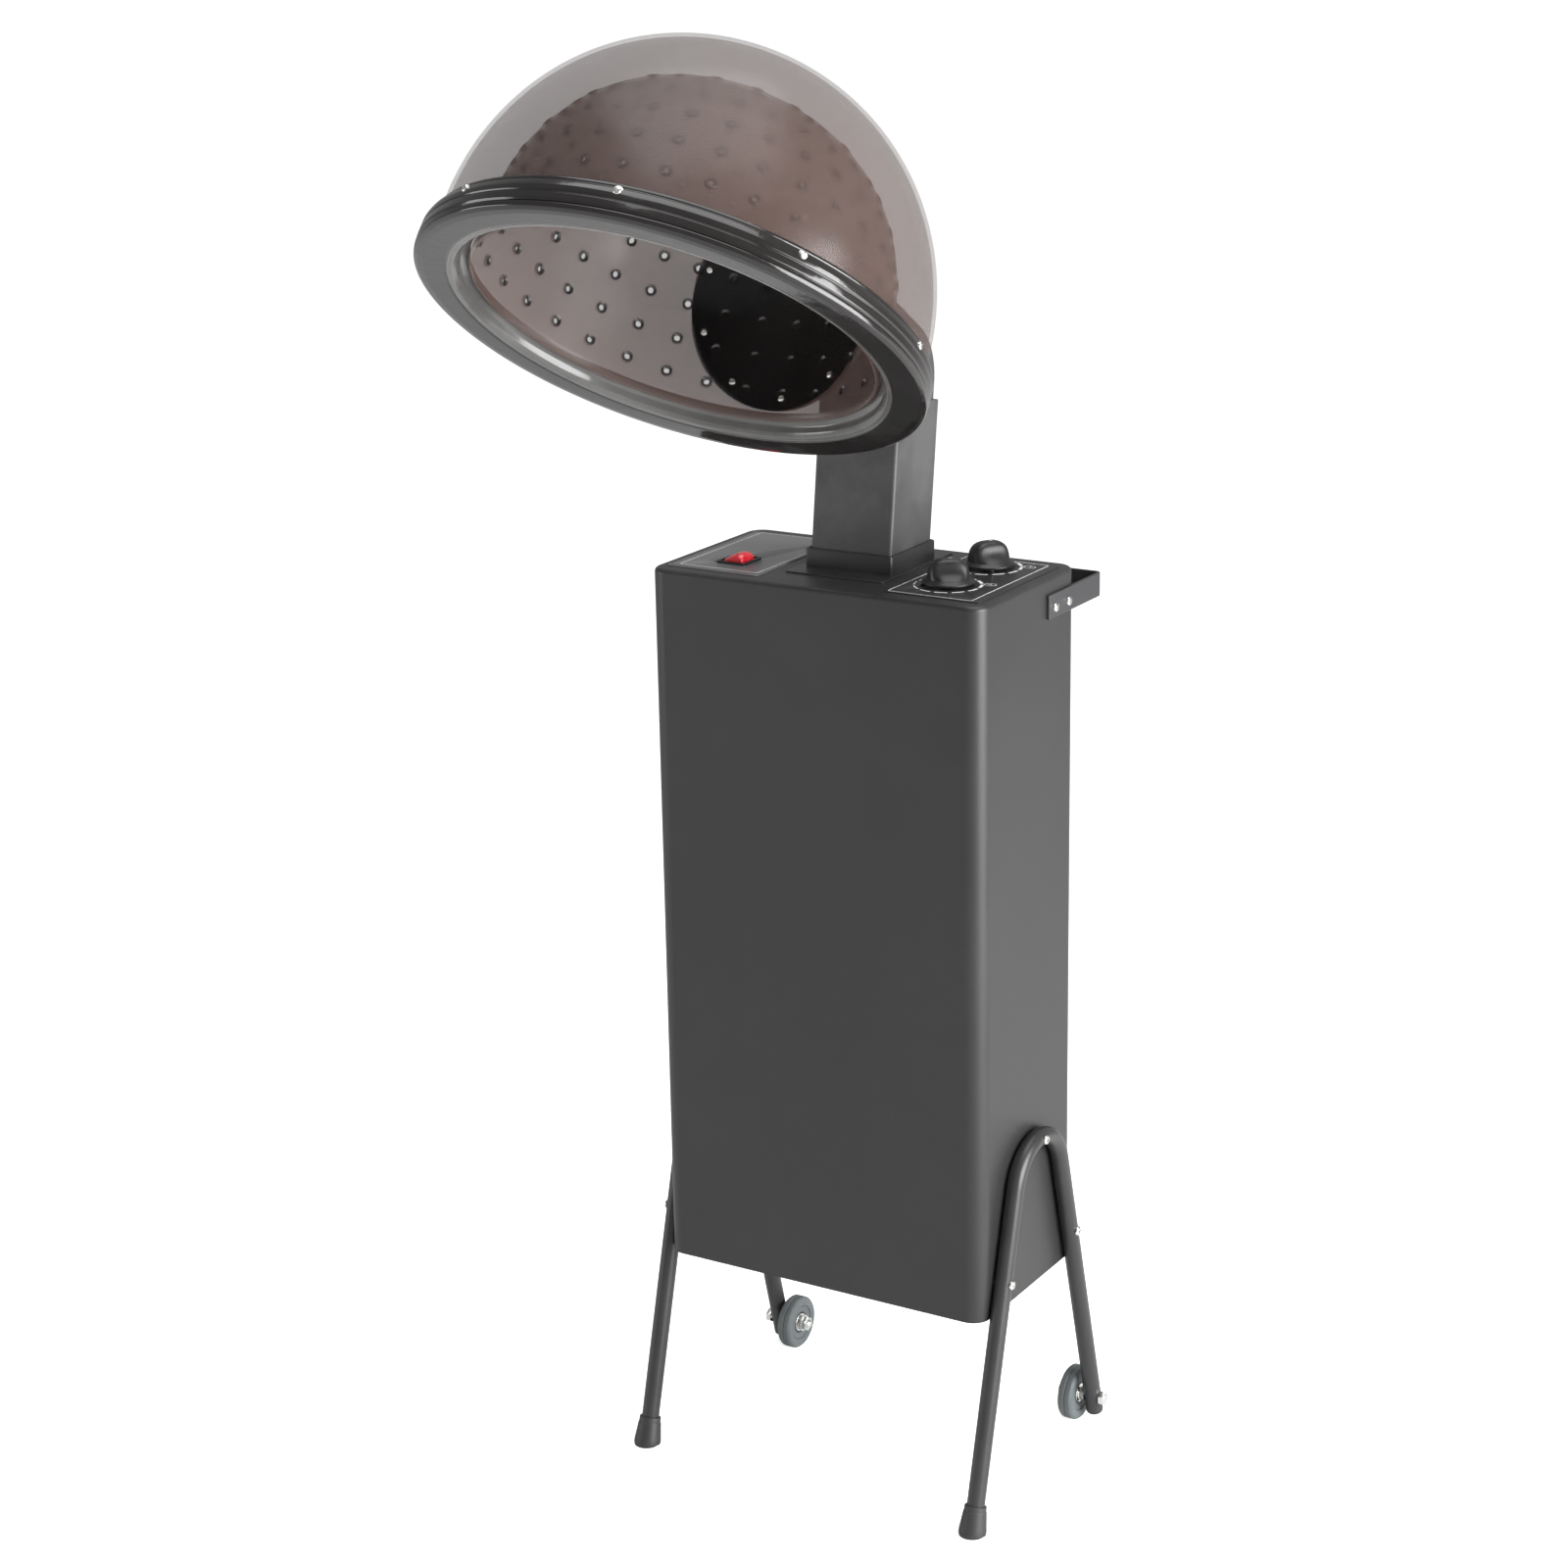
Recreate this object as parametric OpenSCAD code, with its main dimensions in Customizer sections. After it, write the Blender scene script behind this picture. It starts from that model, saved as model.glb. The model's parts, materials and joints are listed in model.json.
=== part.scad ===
// Hood hair dryer on a wheeled cabinet stand, in millimetres.
// +Z is up and the hood faces -Y. The origin is on the floor, under the middle of the whole machine.
// Each group has its own placing module: machine() stands on the floor at the cabinet's centre,
// on_column() leans back with the column, on_hood() sits in the plane of the hood's rim,
// and on_inlet() points out of the back of the hood along its air inlet.

/* [Cabinet] */
// Width of the cabinet
cab_w = 325; // [310:1:345]
// Depth of the cabinet
cab_d = 179; // [174:1:190]
// Height of the cabinet
cab_h = 643; // [600:1:700]
// Clearance between the floor and the cabinet
cab_lift = 184; // [170:1:200]
// Radius of the upright corners
corner_r = 16.5; // [10:0.5:22]
// Radius of the edge round the top
top_edge_r = 4; // [2:0.5:6]
// Thickness of the cabinet's sheet
sheet = 1.5; // [1:0.1:2.5]

/* [Legs and wheels] */
// Outer diameter of the leg tube
tube_d = 16; // [14:0.5:18]
// Wall of the leg tube
tube_wall = 1.5; // [1:0.1:2]
// Angle of each leg from upright
leg_lean = 15.2; // [12:0.1:18]
// Centreline radius of the bend at the top of a leg
bend_r = 44.5; // [38:0.5:52]
// Height of the centreline at the top of the bend
leg_top = 329; // [300:1:350]
// Distance of a leg's middle behind the cabinet's centre
leg_y = 2; // [0:0.5:6]
// Diameter of the wheels
wheel_d = 51; // [48:0.5:56]
// Width of a tyre
tyre_w = 14; // [12:0.5:16]
// Diameter of the axle bolts
axle_d = 8; // [6:0.5:8]

/* [Column] */
// Width of the outer column
column_w = 79; // [74:0.5:84]
// Depth of the outer column
column_d = 71.5; // [68:0.5:76]
// Length of the outer column
column_l = 143; // [120:1:160]
// Wall of the outer column
column_wall = 2.6; // [2:0.1:3]
// Lean of the column towards the back
column_lean = 7.6; // [4:0.1:10]
// Distance of the column's foot behind the cabinet's centre
column_y = 13.8; // [10:0.1:18]
// Height of the collar round the column's foot
collar_h = 17; // [12:0.5:20]
// Travel of the neck up the column
neck_travel = 120; // [60:1:130]

/* [Hood] */
// Outer radius of the rim
rim_r = 206.3; // [200:0.1:212]
// Inner radius of the flat face under the rim
mouth_r = 172; // [170:0.5:176]
// Tilt of the rim's plane from level
hood_tilt = 35.7; // [25:0.1:45]
// Radius of the outer dome
outer_r = 196; // [190:0.5:198]
// Rise of the outer dome above its straight skirt
outer_rise = 202; // [190:1:206]
// Radius of the inner dome
inner_r = 164.7; // [160:0.1:166]
// Rise of the inner dome above its straight skirt
inner_rise = 175.5; // [165:0.5:180]
// Number of nozzles in a full row
nozzles_per_row = 30; // [24:6:36]
// Diameter of a nozzle's hole
nozzle_d = 5; // [4:0.5:6]

/* [Controls] */
// Distance of both dials to the right of the centre
dial_x = 100; // [96:0.5:104]
// Distance of the front dial before the centre
front_dial_y = -29; // [-32:0.5:-26]
// Distance of the back dial behind the centre
back_dial_y = 43.5; // [40:0.5:46]
// Radius of a knob's skirt
knob_r = 22.4; // [20:0.1:24]
// Distance of the switch to the left of the centre
switch_x = 104; // [98:0.5:108]
// Distance of the switch before the centre
switch_y = -33; // [-38:0.5:-28]

/* [Hidden] */
$fn = 64;

// Small amount that a cut runs past a face
over = 1;
// Reach of the bead that joins two stretches of a tube
weld = 0.8;
// Gap between pieces that lie against each other
seat_gap = 0.1;
// Gap round a running shaft
run_gap = 0.05;

// Cabinet
cab_top = cab_lift + cab_h;
corner_steps = 9;
rear_open_w = cab_w - 60;
rear_open_h = cab_h - 70;
rear_panel_t = 1.2;
rear_panel_lap = 12;
bottom_drop = 8;

// Legs and wheels
tube_r = tube_d / 2;
leg_x = cab_w / 2 + tube_r + seat_gap;
bend_z = leg_top - bend_r;
bend_end_y = bend_r * cos(leg_lean);
bend_end_z = bend_z + bend_r * sin(leg_lean);
floor_spread = bend_end_y + bend_end_z * tan(leg_lean);
wheel_r = wheel_d / 2;
axle_y = leg_y + floor_spread - wheel_r * tan(leg_lean);
front_tube_end = 6;
rear_tube_end = 12;
leg_screw_z = 216;
leg_screw_spread = floor_spread - leg_screw_z * tan(leg_lean);
tyre_inner_r = 16.5;
tyre_x = cab_w / 2 - 3 - tyre_w / 2;
foot_h = 26;
foot_top_r = 9.8;
foot_base_r = 12.4;

// Handle
strap_t = 3;
strap_h = 21;
strap_z = 802;
strap_front_y = 29.5;
strap_back_y = 131;
handle_screw_ys = [40, 65];

// Column and neck
slide_gap = 0.8;
neck_w = column_w - 2 * column_wall - 2 * slide_gap;
neck_d = column_d - 2 * column_wall - 2 * slide_gap;
neck_wall = 2.5;
neck_tail = 60;
flange_w = 96;
flange_d = 126;
flange_t = 1.2;
column_start = 6.2;
elbow_r = 52;
elbow_start = 158;
pivot_forward = 93.8;
pivot_up = 218.3;
drum_r = 30;
neck_corner_up = 178;
pivot_pin_r = 4;
cheek_t = 4;
washer_t = 0.5;
drum_centre = [-pivot_forward, pivot_up];
elbow_centre = [neck_d / 2 - elbow_r, elbow_start];
front_corner = [-neck_d / 2, neck_corner_up];
// Directions in which the outline touches the drum, above and below
centre_gap = norm(drum_centre - elbow_centre);
centre_angle = 180 - atan((drum_centre[1] - elbow_centre[1]) / (elbow_centre[0] - drum_centre[0]));
top_angle = centre_angle - acos((elbow_r - drum_r) / centre_gap);
corner_gap = norm(front_corner - drum_centre);
under_angle = 360 - atan((drum_centre[1] - front_corner[1]) / (front_corner[0] - drum_centre[0]))
    - acos(drum_r / corner_gap);

// Hood
outer_base = 28.6;
outer_power = 2.05;
inner_base = 19;
inner_power = 2.31;
dome_wall = 3;
inner_wall = 2.5;
outer_steps = 24;
inner_steps = 14;
inlet_rise = hood_tilt - column_lean;
pivot_out = 232;
lip_angle = 45;
throat_w = 60;
throat_h = 33;
flange_r = 48;
saddle_flange_t = 3;
saddle_screw_lean = 12;
saddle_screw_turns = [60, 90, 120, 240, 270, 300];
gasket_t = 1;
rim_screw_count = 9;
rim_screw_start = 6;
rim_screw_z = 17;
rim_screw_seat = rim_r - outer_r - 1.6;
rim_screw_head_r = 3.2;
deflector_r = 80.7;
deflector_gap = 0.3;
deflector_t = 2.5;
deflector_screw_lean = 25.9;
nozzle_start = 87;
nozzle_first_rise = 4;
nozzle_row_step = 10;
// Nozzles in each row, from the rim upwards
nozzle_rows = [1, 1, 1, 1, 1, 2, 2];

// Whole machine's front and back, used to centre it on the origin
pivot_y = column_y - pivot_forward * cos(column_lean) + pivot_up * sin(column_lean);
hood_y = pivot_y - pivot_out * cos(column_lean) - inner_base * sin(hood_tilt);
front_y = hood_y - (rim_r - 0.7) * cos(hood_tilt) - 2.6 * sin(hood_tilt);
back_y = axle_y + wheel_r;
frame_shift = -(front_y + back_y) / 2;

// Controls
label_t = 0.8;
label_w = 91;
label_d = 147;
label_x = 107.5;
label_top = cab_top + label_t;
bezel_w = 28.5;
bezel_d = 30;
bezel_t = 1.8;
rocker_w = 20;
rocker_d = 21;

// Air path inside the cabinet
riser_wall = 1.5;
riser_w = neck_w - 2 * neck_wall - 2;
riser_d = neck_d - 2 * neck_wall - 2;
riser_top = 130;
duct_top = 750;
duct_bottom = 662;
duct_y = column_y - (cab_top - duct_top) * tan(column_lean);
blower_z = 575;
blower_x = -42;
scroll_r = 84;
blower_wheel_r = 62;
blower_depth = riser_d;
motor_r = 38;
shelf_z = blower_z - scroll_r - 4;

// Placing modules
module machine() { translate([0, frame_shift, 0]) children(); }
module on_column() { machine() translate([0, column_y, cab_top]) rotate([-column_lean, 0, 0]) children(); }
module on_hood() {
    on_column() translate([0, -pivot_forward, pivot_up]) rotate([-inlet_rise, 0, 0])
        translate([0, -pivot_out * cos(inlet_rise), -inner_base - pivot_out * sin(inlet_rise)]) children();
}
module on_inlet() { on_hood() translate([0, 0, inner_base]) rotate([inlet_rise - 90, 0, 0]) children(); }
// Turns a flat drawing into the side plane: drawn X runs back, drawn Y runs up
module side_plane() { rotate([90, 0, 90]) children(); }
// Puts children on both sides of the machine
module both_sides() { for (side = [-1, 1]) scale_side(side) children(); }
module scale_side(side) { if (side < 0) mirror([1, 0, 0]) children(); else children(); }

// Shared outlines
function arc(centre, r, from, to, steps) =
    [for (i = [0:steps]) let (a = from + (to - from) * i / steps) centre + r * [cos(a), sin(a)]];
function rounded_rect(w, d, r, steps) = concat(
    arc([w / 2 - r, d / 2 - r], r, 0, 90, steps), arc([r - w / 2, d / 2 - r], r, 90, 180, steps),
    arc([r - w / 2, r - d / 2], r, 180, 270, steps), arc([w / 2 - r, r - d / 2], r, 270, 360, steps));
function reversed(list) = [for (i = [len(list) - 1:-1:0]) list[i]];
function dome_edge(r, rise, base, power, steps) =
    [for (i = [0:steps]) let (a = 90 * i / steps)
        [r * pow(cos(a), 2 / power), base + rise * pow(sin(a), 2 / power)]];
// Distance from a dome's centre to its face in a direction so many degrees above the rim
function dome_reach(r, rise, power, up) = pow(pow(cos(up) / r, power) + pow(sin(up) / rise, power), -1 / power);
// Angle above the rim of a direction that leans off the inlet's axis towards a turn about it
function lean_up(lean, turn) = asin(sin(inlet_rise) * cos(lean) - cos(inlet_rise) * sin(lean) * sin(turn));

// Straight bar with rounded upright corners
module rounded_bar(w, d, r, h) { linear_extrude(h) polygon(rounded_rect(w, d, r, corner_steps)); }
module rounded_tube(w, d, r, wall, h) {
    difference() {
        rounded_bar(w, d, r, h);
        translate([0, 0, -over]) rounded_bar(w - 2 * wall, d - 2 * wall, max(r - wall, 0.3), h + 2 * over);
    }
}

// Box whose upright corners and top edge are rounded, made of stacked rings
module soft_top_box(w, d, r, h, edge) {
    levels = concat([[0, 0]], [for (i = [0:4]) let (a = 22.5 * i) [h - edge + edge * sin(a), edge * (1 - cos(a))]]);
    rings = [for (level = levels) [for (p = rounded_rect(w - 2 * level[1], d - 2 * level[1],
        r - level[1], corner_steps)) [p[0], p[1], level[0]]]];
    n = len(rings[0]);
    last = len(levels) - 1;
    polyhedron(
        points = [for (ring = rings) for (p = ring) p],
        faces = concat(
            [[for (i = [n - 1:-1:0]) n - 1 - i]],
            [for (k = [0:last - 1]) for (i = [0:n - 1])
                [k * n + i, (k + 1) * n + i, (k + 1) * n + (i + 1) % n, k * n + (i + 1) % n]],
            [[for (i = [n - 1:-1:0]) last * n + i]]));
}

// Pan-head cross-recess screw, head up, with its seat at the origin
module pan_screw(head_r, head_h, shank_r, shank_l) {
    difference() {
        union() {
            cylinder(h = head_h * 0.5, r = head_r);
            translate([0, 0, head_h * 0.5]) cylinder(h = head_h * 0.5, r1 = head_r, r2 = head_r * 0.72);
            translate([0, 0, -shank_l]) cylinder(h = shank_l, r = shank_r);
        }
        for (turn = [0, 90]) rotate([0, 0, turn + 20])
            translate([-head_r * 0.6, -head_r * 0.11, head_h * 0.55]) cube([head_r * 1.2, head_r * 0.22, head_h]);
    }
}
module washer(outer, inner, t) {
    difference() {
        cylinder(h = t, r = outer);
        translate([0, 0, -over]) cylinder(h = t + 2 * over, r = inner);
    }
}
// Points children away from the right-hand side of the machine
module facing_right() { rotate([0, 90, 0]) children(); }

// ---- Cabinet -------------------------------------------------------------
module leg_screw_axes() {
    for (p = [[leg_y, leg_top], [leg_y - leg_screw_spread, leg_screw_z], [leg_y + leg_screw_spread, leg_screw_z]])
        translate([0, p[0], p[1]]) children();
}
module handle_screw_axes() { for (y = handle_screw_ys) translate([0, y, strap_z - 1.5]) children(); }
module rear_screw_axes() {
    for (x = [-1, 1]) for (z = [0:3])
        translate([x * (rear_open_w / 2 + 6), cab_d / 2, cab_lift + 40 + z * (rear_open_h - 10) / 3]) children();
}
module dial_places() { for (y = [front_dial_y, back_dial_y]) translate([dial_x, y, 0]) children(); }

module cabinet_shell() {
    color([0.2, 0.2, 0.2]) machine() difference() {
        translate([0, 0, cab_lift]) soft_top_box(cab_w, cab_d, corner_r, cab_h, top_edge_r);
        translate([0, 0, cab_lift - over])
            rounded_bar(cab_w - 2 * sheet, cab_d - 2 * sheet, corner_r - sheet, cab_h - sheet + over);
        translate([-rear_open_w / 2, 0, cab_lift + 35]) cube([rear_open_w, cab_d, rear_open_h]);
        translate([0, column_y, cab_top - 10]) rounded_bar(neck_w + 5, neck_d + 6, 2, 20);
        translate([-switch_x, switch_y, cab_top - 10]) rounded_bar(bezel_w - 3, bezel_d - 3, 1, 20);
        dial_places() translate([0, 0, cab_top - 10]) cylinder(h = 20, r = 6);
        both_sides() leg_screw_axes() facing_right() cylinder(h = cab_w, r = 2.6);
        both_sides() handle_screw_axes() facing_right() cylinder(h = cab_w, r = 2.1);
        rear_screw_axes() rotate([90, 0, 0]) cylinder(h = 20, r = 1.6, center = true);
    }
}

module rear_panel() {
    panel_w = rear_open_w + 2 * rear_panel_lap;
    panel_h = rear_open_h + 2 * rear_panel_lap;
    slot_rows = 11;
    color([0.22, 0.22, 0.22]) machine() difference() {
        translate([-panel_w / 2, cab_d / 2 + seat_gap, cab_lift + 35 - rear_panel_lap])
            cube([panel_w, rear_panel_t, panel_h]);
        for (row = [0:slot_rows - 1]) for (column = [-1:1])
            translate([column * 58 - 24, cab_d / 2 - over, blower_z - 60 + row * 12]) cube([48, 5, 4.5]);
        rear_screw_axes() rotate([90, 0, 0]) cylinder(h = 20, r = 1.6, center = true);
        translate([-90, cab_d / 2, cab_lift + 60]) rotate([90, 0, 0]) cylinder(h = 20, r = 8, center = true);
    }
}

module rear_panel_screws() {
    color([0.75, 0.75, 0.75]) machine() rear_screw_axes()
        translate([0, rear_panel_t + 2 * seat_gap, 0]) rotate([-90, 0, 0]) pan_screw(3.4, 2, 1.5, 7);
}

module bottom_plate() {
    color([0.18, 0.18, 0.18]) machine() difference() {
        union() {
            translate([0, 0, cab_lift + bottom_drop])
                rounded_bar(cab_w - 2 * sheet - 0.4, cab_d - 2 * sheet - 0.4, corner_r - sheet, 1.2);
            translate([0, 0, cab_lift + bottom_drop]) rounded_tube(cab_w - 2 * sheet - 0.4,
                cab_d - 2 * sheet - 0.4, corner_r - sheet, 1.2, 14);
        }
        for (x = [-2:2]) for (y = [-2:2])
            translate([x * 40 - 14, y * 24 - 2, cab_lift]) cube([28, 4, 20]);
        for (x = [-110, 0, 110])
            translate([x, -cab_d / 2, cab_lift + 16]) rotate([90, 0, 0]) cylinder(h = 20, r = 1.6, center = true);
    }
}

module bottom_plate_screws() {
    color([0.75, 0.75, 0.75]) machine() for (x = [-110, 0, 110])
        translate([x, 3 - cab_d / 2, cab_lift + 16]) rotate([-90, 0, 0]) pan_screw(3, 1.8, 1.5, 1.2);
}

// ---- Legs ----------------------------------------------------------------
// Straight stretch of a leg, down from the bend
module leg_run(r, end_z) {
    length = (bend_end_z - end_z) / cos(leg_lean);
    rotate([90, 0, leg_lean]) cylinder(h = length, r = r);
}
// Bead inside the wall that joins a straight stretch to the bend
module leg_bead() {
    rotate([90, 0, leg_lean]) translate([0, 0, -weld]) difference() {
        cylinder(h = 2 * weld, r = tube_r - 0.2);
        translate([0, 0, -over]) cylinder(h = 2 * weld + 2 * over, r = tube_r - tube_wall + 0.2);
    }
}
module leg_solid(r, front_end, rear_end) {
    translate([leg_y, bend_z, 0]) rotate([0, 0, leg_lean])
        rotate_extrude(angle = 180 - 2 * leg_lean) translate([bend_r, 0]) circle(r);
    translate([leg_y + bend_end_y, bend_end_z, 0]) leg_run(r, rear_end);
    translate([leg_y - bend_end_y, bend_end_z, 0]) mirror([1, 0, 0]) leg_run(r, front_end);
}
module hairpin_leg() {
    difference() {
        union() {
            translate([leg_x, 0, 0]) side_plane() difference() {
                leg_solid(tube_r, front_tube_end, rear_tube_end);
                leg_solid(tube_r - tube_wall, front_tube_end - over, rear_tube_end - over);
            }
            translate([leg_x, 0, 0]) side_plane() {
                translate([leg_y + bend_end_y, bend_end_z, 0]) leg_bead();
                translate([leg_y - bend_end_y, bend_end_z, 0]) mirror([1, 0, 0]) leg_bead();
            }
        }
        leg_screw_axes() facing_right() cylinder(h = cab_w, r = 2.6);
        translate([0, axle_y, wheel_r]) facing_right() cylinder(h = cab_w, r = axle_d / 2 + run_gap);
    }
}
module left_leg() { color([0.15, 0.15, 0.15]) machine() scale_side(-1) hairpin_leg(); }
module right_leg() { color([0.15, 0.15, 0.15]) machine() hairpin_leg(); }

module leg_screws() {
    head_x = leg_x + tube_r + seat_gap;
    color([0.8, 0.8, 0.8]) machine() both_sides() leg_screw_axes()
        translate([head_x, 0, 0]) facing_right() pan_screw(4.2, 2.4, 2.5, tube_d + 9);
}
module leg_screw_nuts() {
    color([0.7, 0.7, 0.7]) machine() both_sides() leg_screw_axes()
        translate([cab_w / 2 - sheet - 3.1, 0, 0]) facing_right() difference() {
            cylinder(h = 3, r = 4.6, $fn = 6);
            translate([0, 0, -over]) cylinder(h = 5, r = 2.55);
        }
}

module rubber_foot() {
    sink = 4;
    difference() {
        translate([leg_x, leg_y - floor_spread, 0]) side_plane() rotate([-90, 0, -leg_lean])
            translate([0, 0, -sink]) cylinder(h = foot_h + sink, r1 = foot_base_r, r2 = foot_top_r);
        translate([leg_x, 0, 0]) side_plane() translate([leg_y - bend_end_y, bend_end_z, 0])
            mirror([1, 0, 0]) leg_run(tube_r + run_gap, front_tube_end - seat_gap);
        translate([0, leg_y - floor_spread - 50, -50]) cube([leg_x + 50, 100, 50]);
    }
}
module left_foot() { color([0.1, 0.1, 0.1]) machine() scale_side(-1) rubber_foot(); }
module right_foot() { color([0.1, 0.1, 0.1]) machine() rubber_foot(); }

// Rounded plugs that close the back ends of the tubes
module tube_plugs() {
    end_y = leg_y + floor_spread - rear_tube_end * tan(leg_lean);
    color([0.12, 0.12, 0.12]) machine() both_sides()
        translate([leg_x, end_y, rear_tube_end]) side_plane() rotate([90, 0, leg_lean]) union() {
            intersection() {
                translate([0, 0, -4]) sphere(r = 12.5);
                translate([0, 0, seat_gap]) cylinder(h = 12, r = tube_r);
            }
            translate([0, 0, -6]) cylinder(h = 6.5, r = tube_r - tube_wall - run_gap);
        }
}

// ---- Wheels --------------------------------------------------------------
module on_axle() { translate([0, axle_y, wheel_r]) facing_right() children(); }

module axle_bolts() {
    head_x = leg_x + tube_r + seat_gap;
    color([0.82, 0.82, 0.82]) machine() both_sides() on_axle() {
        translate([0, 0, head_x]) cylinder(h = 5.3, r = 7.2, $fn = 6);
        translate([0, 0, tyre_x - tyre_w / 2 - 8]) cylinder(h = head_x - tyre_x + tyre_w / 2 + 8, r = axle_d / 2);
    }
}
module axle_nuts() {
    nut_x = tyre_x - tyre_w / 2 - 7.2;
    color([0.75, 0.75, 0.75]) machine() both_sides() on_axle() translate([0, 0, nut_x]) {
        difference() {
            cylinder(h = 5, r = 7, $fn = 6);
            translate([0, 0, -over]) cylinder(h = 8, r = axle_d / 2 + run_gap);
        }
        translate([0, 0, 5.1]) washer(8, axle_d / 2 + run_gap, 1.2);
    }
}
module axle_spacers() {
    spacer_x = tyre_x + tyre_w / 2 + 0.3;
    spacer_l = leg_x - tube_r - spacer_x + 1.2;
    color([0.7, 0.7, 0.7]) machine() both_sides() difference() {
        on_axle() translate([0, 0, spacer_x]) washer(6.5, axle_d / 2 + run_gap, spacer_l);
        translate([leg_x, 0, 0]) side_plane() translate([leg_y + bend_end_y, bend_end_z, 0])
            leg_run(tube_r + run_gap, rear_tube_end);
    }
}
module tyre() {
    half = tyre_w / 2;
    shoulder = 5;
    groove = 0.7;
    bead_r = tyre_inner_r;
    rotate_extrude() polygon(concat(
        [[bead_r, 1.5 - half]],
        arc([wheel_r - shoulder, shoulder - half], shoulder, -80, -10, 6),
        [[wheel_r, -groove], [wheel_r - groove, 0], [wheel_r, groove]],
        arc([wheel_r - shoulder, half - shoulder], shoulder, 10, 80, 6),
        [[bead_r, half - 1.5]]));
}
module hub() {
    half = tyre_w / 2;
    rotate_extrude() polygon([
        [axle_d / 2 + run_gap, -half], [8.5, -half], [9.5, 3 - half], [13.8, 3 - half], [14.3, 1.5 - half],
        [tyre_inner_r - run_gap, 1.5 - half], [tyre_inner_r - run_gap, half - 1.5], [14.3, half - 1.5],
        [13.8, half - 3], [9.5, half - 3], [8.5, half], [axle_d / 2 + run_gap, half]]);
}
module left_tyre() { color([0.45, 0.48, 0.49]) machine() scale_side(-1) on_axle() translate([0, 0, tyre_x]) tyre(); }
module right_tyre() { color([0.45, 0.48, 0.49]) machine() on_axle() translate([0, 0, tyre_x]) tyre(); }
module left_hub() { color([0.6, 0.6, 0.6]) machine() scale_side(-1) on_axle() translate([0, 0, tyre_x]) hub(); }
module right_hub() { color([0.6, 0.6, 0.6]) machine() on_axle() translate([0, 0, tyre_x]) hub(); }

// ---- Handle --------------------------------------------------------------
module push_handle() {
    half_w = cab_w / 2 + seat_gap;
    bend = 6;
    outer = concat(
        [[half_w + strap_t, strap_front_y]],
        arc([half_w + strap_t - bend, strap_back_y - bend], bend, 0, 90, 6),
        arc([bend - half_w - strap_t, strap_back_y - bend], bend, 90, 180, 6),
        [[-half_w - strap_t, strap_front_y], [-half_w, strap_front_y]],
        arc([bend - half_w - strap_t, strap_back_y - bend], bend - strap_t, 180, 90, 6),
        arc([half_w + strap_t - bend, strap_back_y - bend], bend - strap_t, 90, 0, 6),
        [[half_w, strap_front_y]]);
    color([0.14, 0.14, 0.14]) machine() difference() {
        translate([0, 0, strap_z - strap_h / 2]) linear_extrude(strap_h) polygon(outer);
        both_sides() handle_screw_axes() facing_right() cylinder(h = cab_w, r = 2.1);
    }
}
module handle_screws() {
    head_x = cab_w / 2 + strap_t + 2 * seat_gap;
    color([0.85, 0.85, 0.85]) machine() both_sides() handle_screw_axes()
        translate([head_x, 0, 0]) facing_right() pan_screw(4, 2.2, 2, 12);
}

// ---- Controls ------------------------------------------------------------
module label_plate(side) {
    translate([side * label_x, 0, cab_top]) rounded_bar(label_w, label_d, 3, label_t);
}
module switch_label() {
    color([0.25, 0.25, 0.25]) machine() difference() {
        label_plate(-1);
        translate([-switch_x, switch_y, cab_top - over]) rounded_bar(bezel_w - 3, bezel_d - 3, 1, 4);
    }
}
module control_label() {
    color([0.1, 0.1, 0.1]) machine() difference() {
        label_plate(1);
        dial_places() translate([0, 0, cab_top - over]) cylinder(h = 4, r = 6);
    }
}
module switch_body() {
    body_h = 22;
    color([0.06, 0.06, 0.06]) machine() translate([-switch_x, switch_y, label_top]) difference() {
        union() {
            rounded_bar(bezel_w, bezel_d, 2, bezel_t);
            translate([0, 0, -body_h]) rounded_bar(bezel_w - 3.6, bezel_d - 3.6, 1, body_h);
        }
        translate([-rocker_w / 2 - 1.2, -rocker_d / 2 - 0.4, -10]) cube([rocker_w + 3, rocker_d + 0.8, 20]);
        translate([0, 0, -1]) rotate([90, 0, 0]) cylinder(h = rocker_d + 4, r = 1.5 + run_gap, center = true);
    }
}
module rocker() {
    half = rocker_w / 2;
    color([0.75, 0.05, 0.07]) machine() translate([-switch_x, switch_y, label_top]) {
        rotate([90, 0, 0]) translate([0, 0, -rocker_d / 2]) linear_extrude(rocker_d) polygon([
            [-half, -5], [-half, 2.2], [1 - half, 3.4], [-5, 5.4], [-1, 7.1], [3, 8], [6, 8], [half - 1.3, 6.8],
            [half, 5], [half, -5]]);
        translate([0, 0, -1]) rotate([90, 0, 0]) cylinder(h = rocker_d + 3.4, r = 1.5, center = true);
    }
}

// Body of a rotary control under the cabinet's top, with its fixing nut
module control_body(y, r, h) {
    translate([dial_x, y, cab_top - sheet - h - 0.1]) difference() {
        union() {
            cylinder(h = h, r = r);
            cylinder(h = h + sheet + label_t + 1.5, r = 5.8);
        }
        translate([0, 0, h - 15]) cylinder(h = 40, r = 3 + run_gap);
    }
}
module control_shaft(y) { translate([dial_x, y, cab_top - sheet - 14]) cylinder(h = 26, r = 3); }
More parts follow.
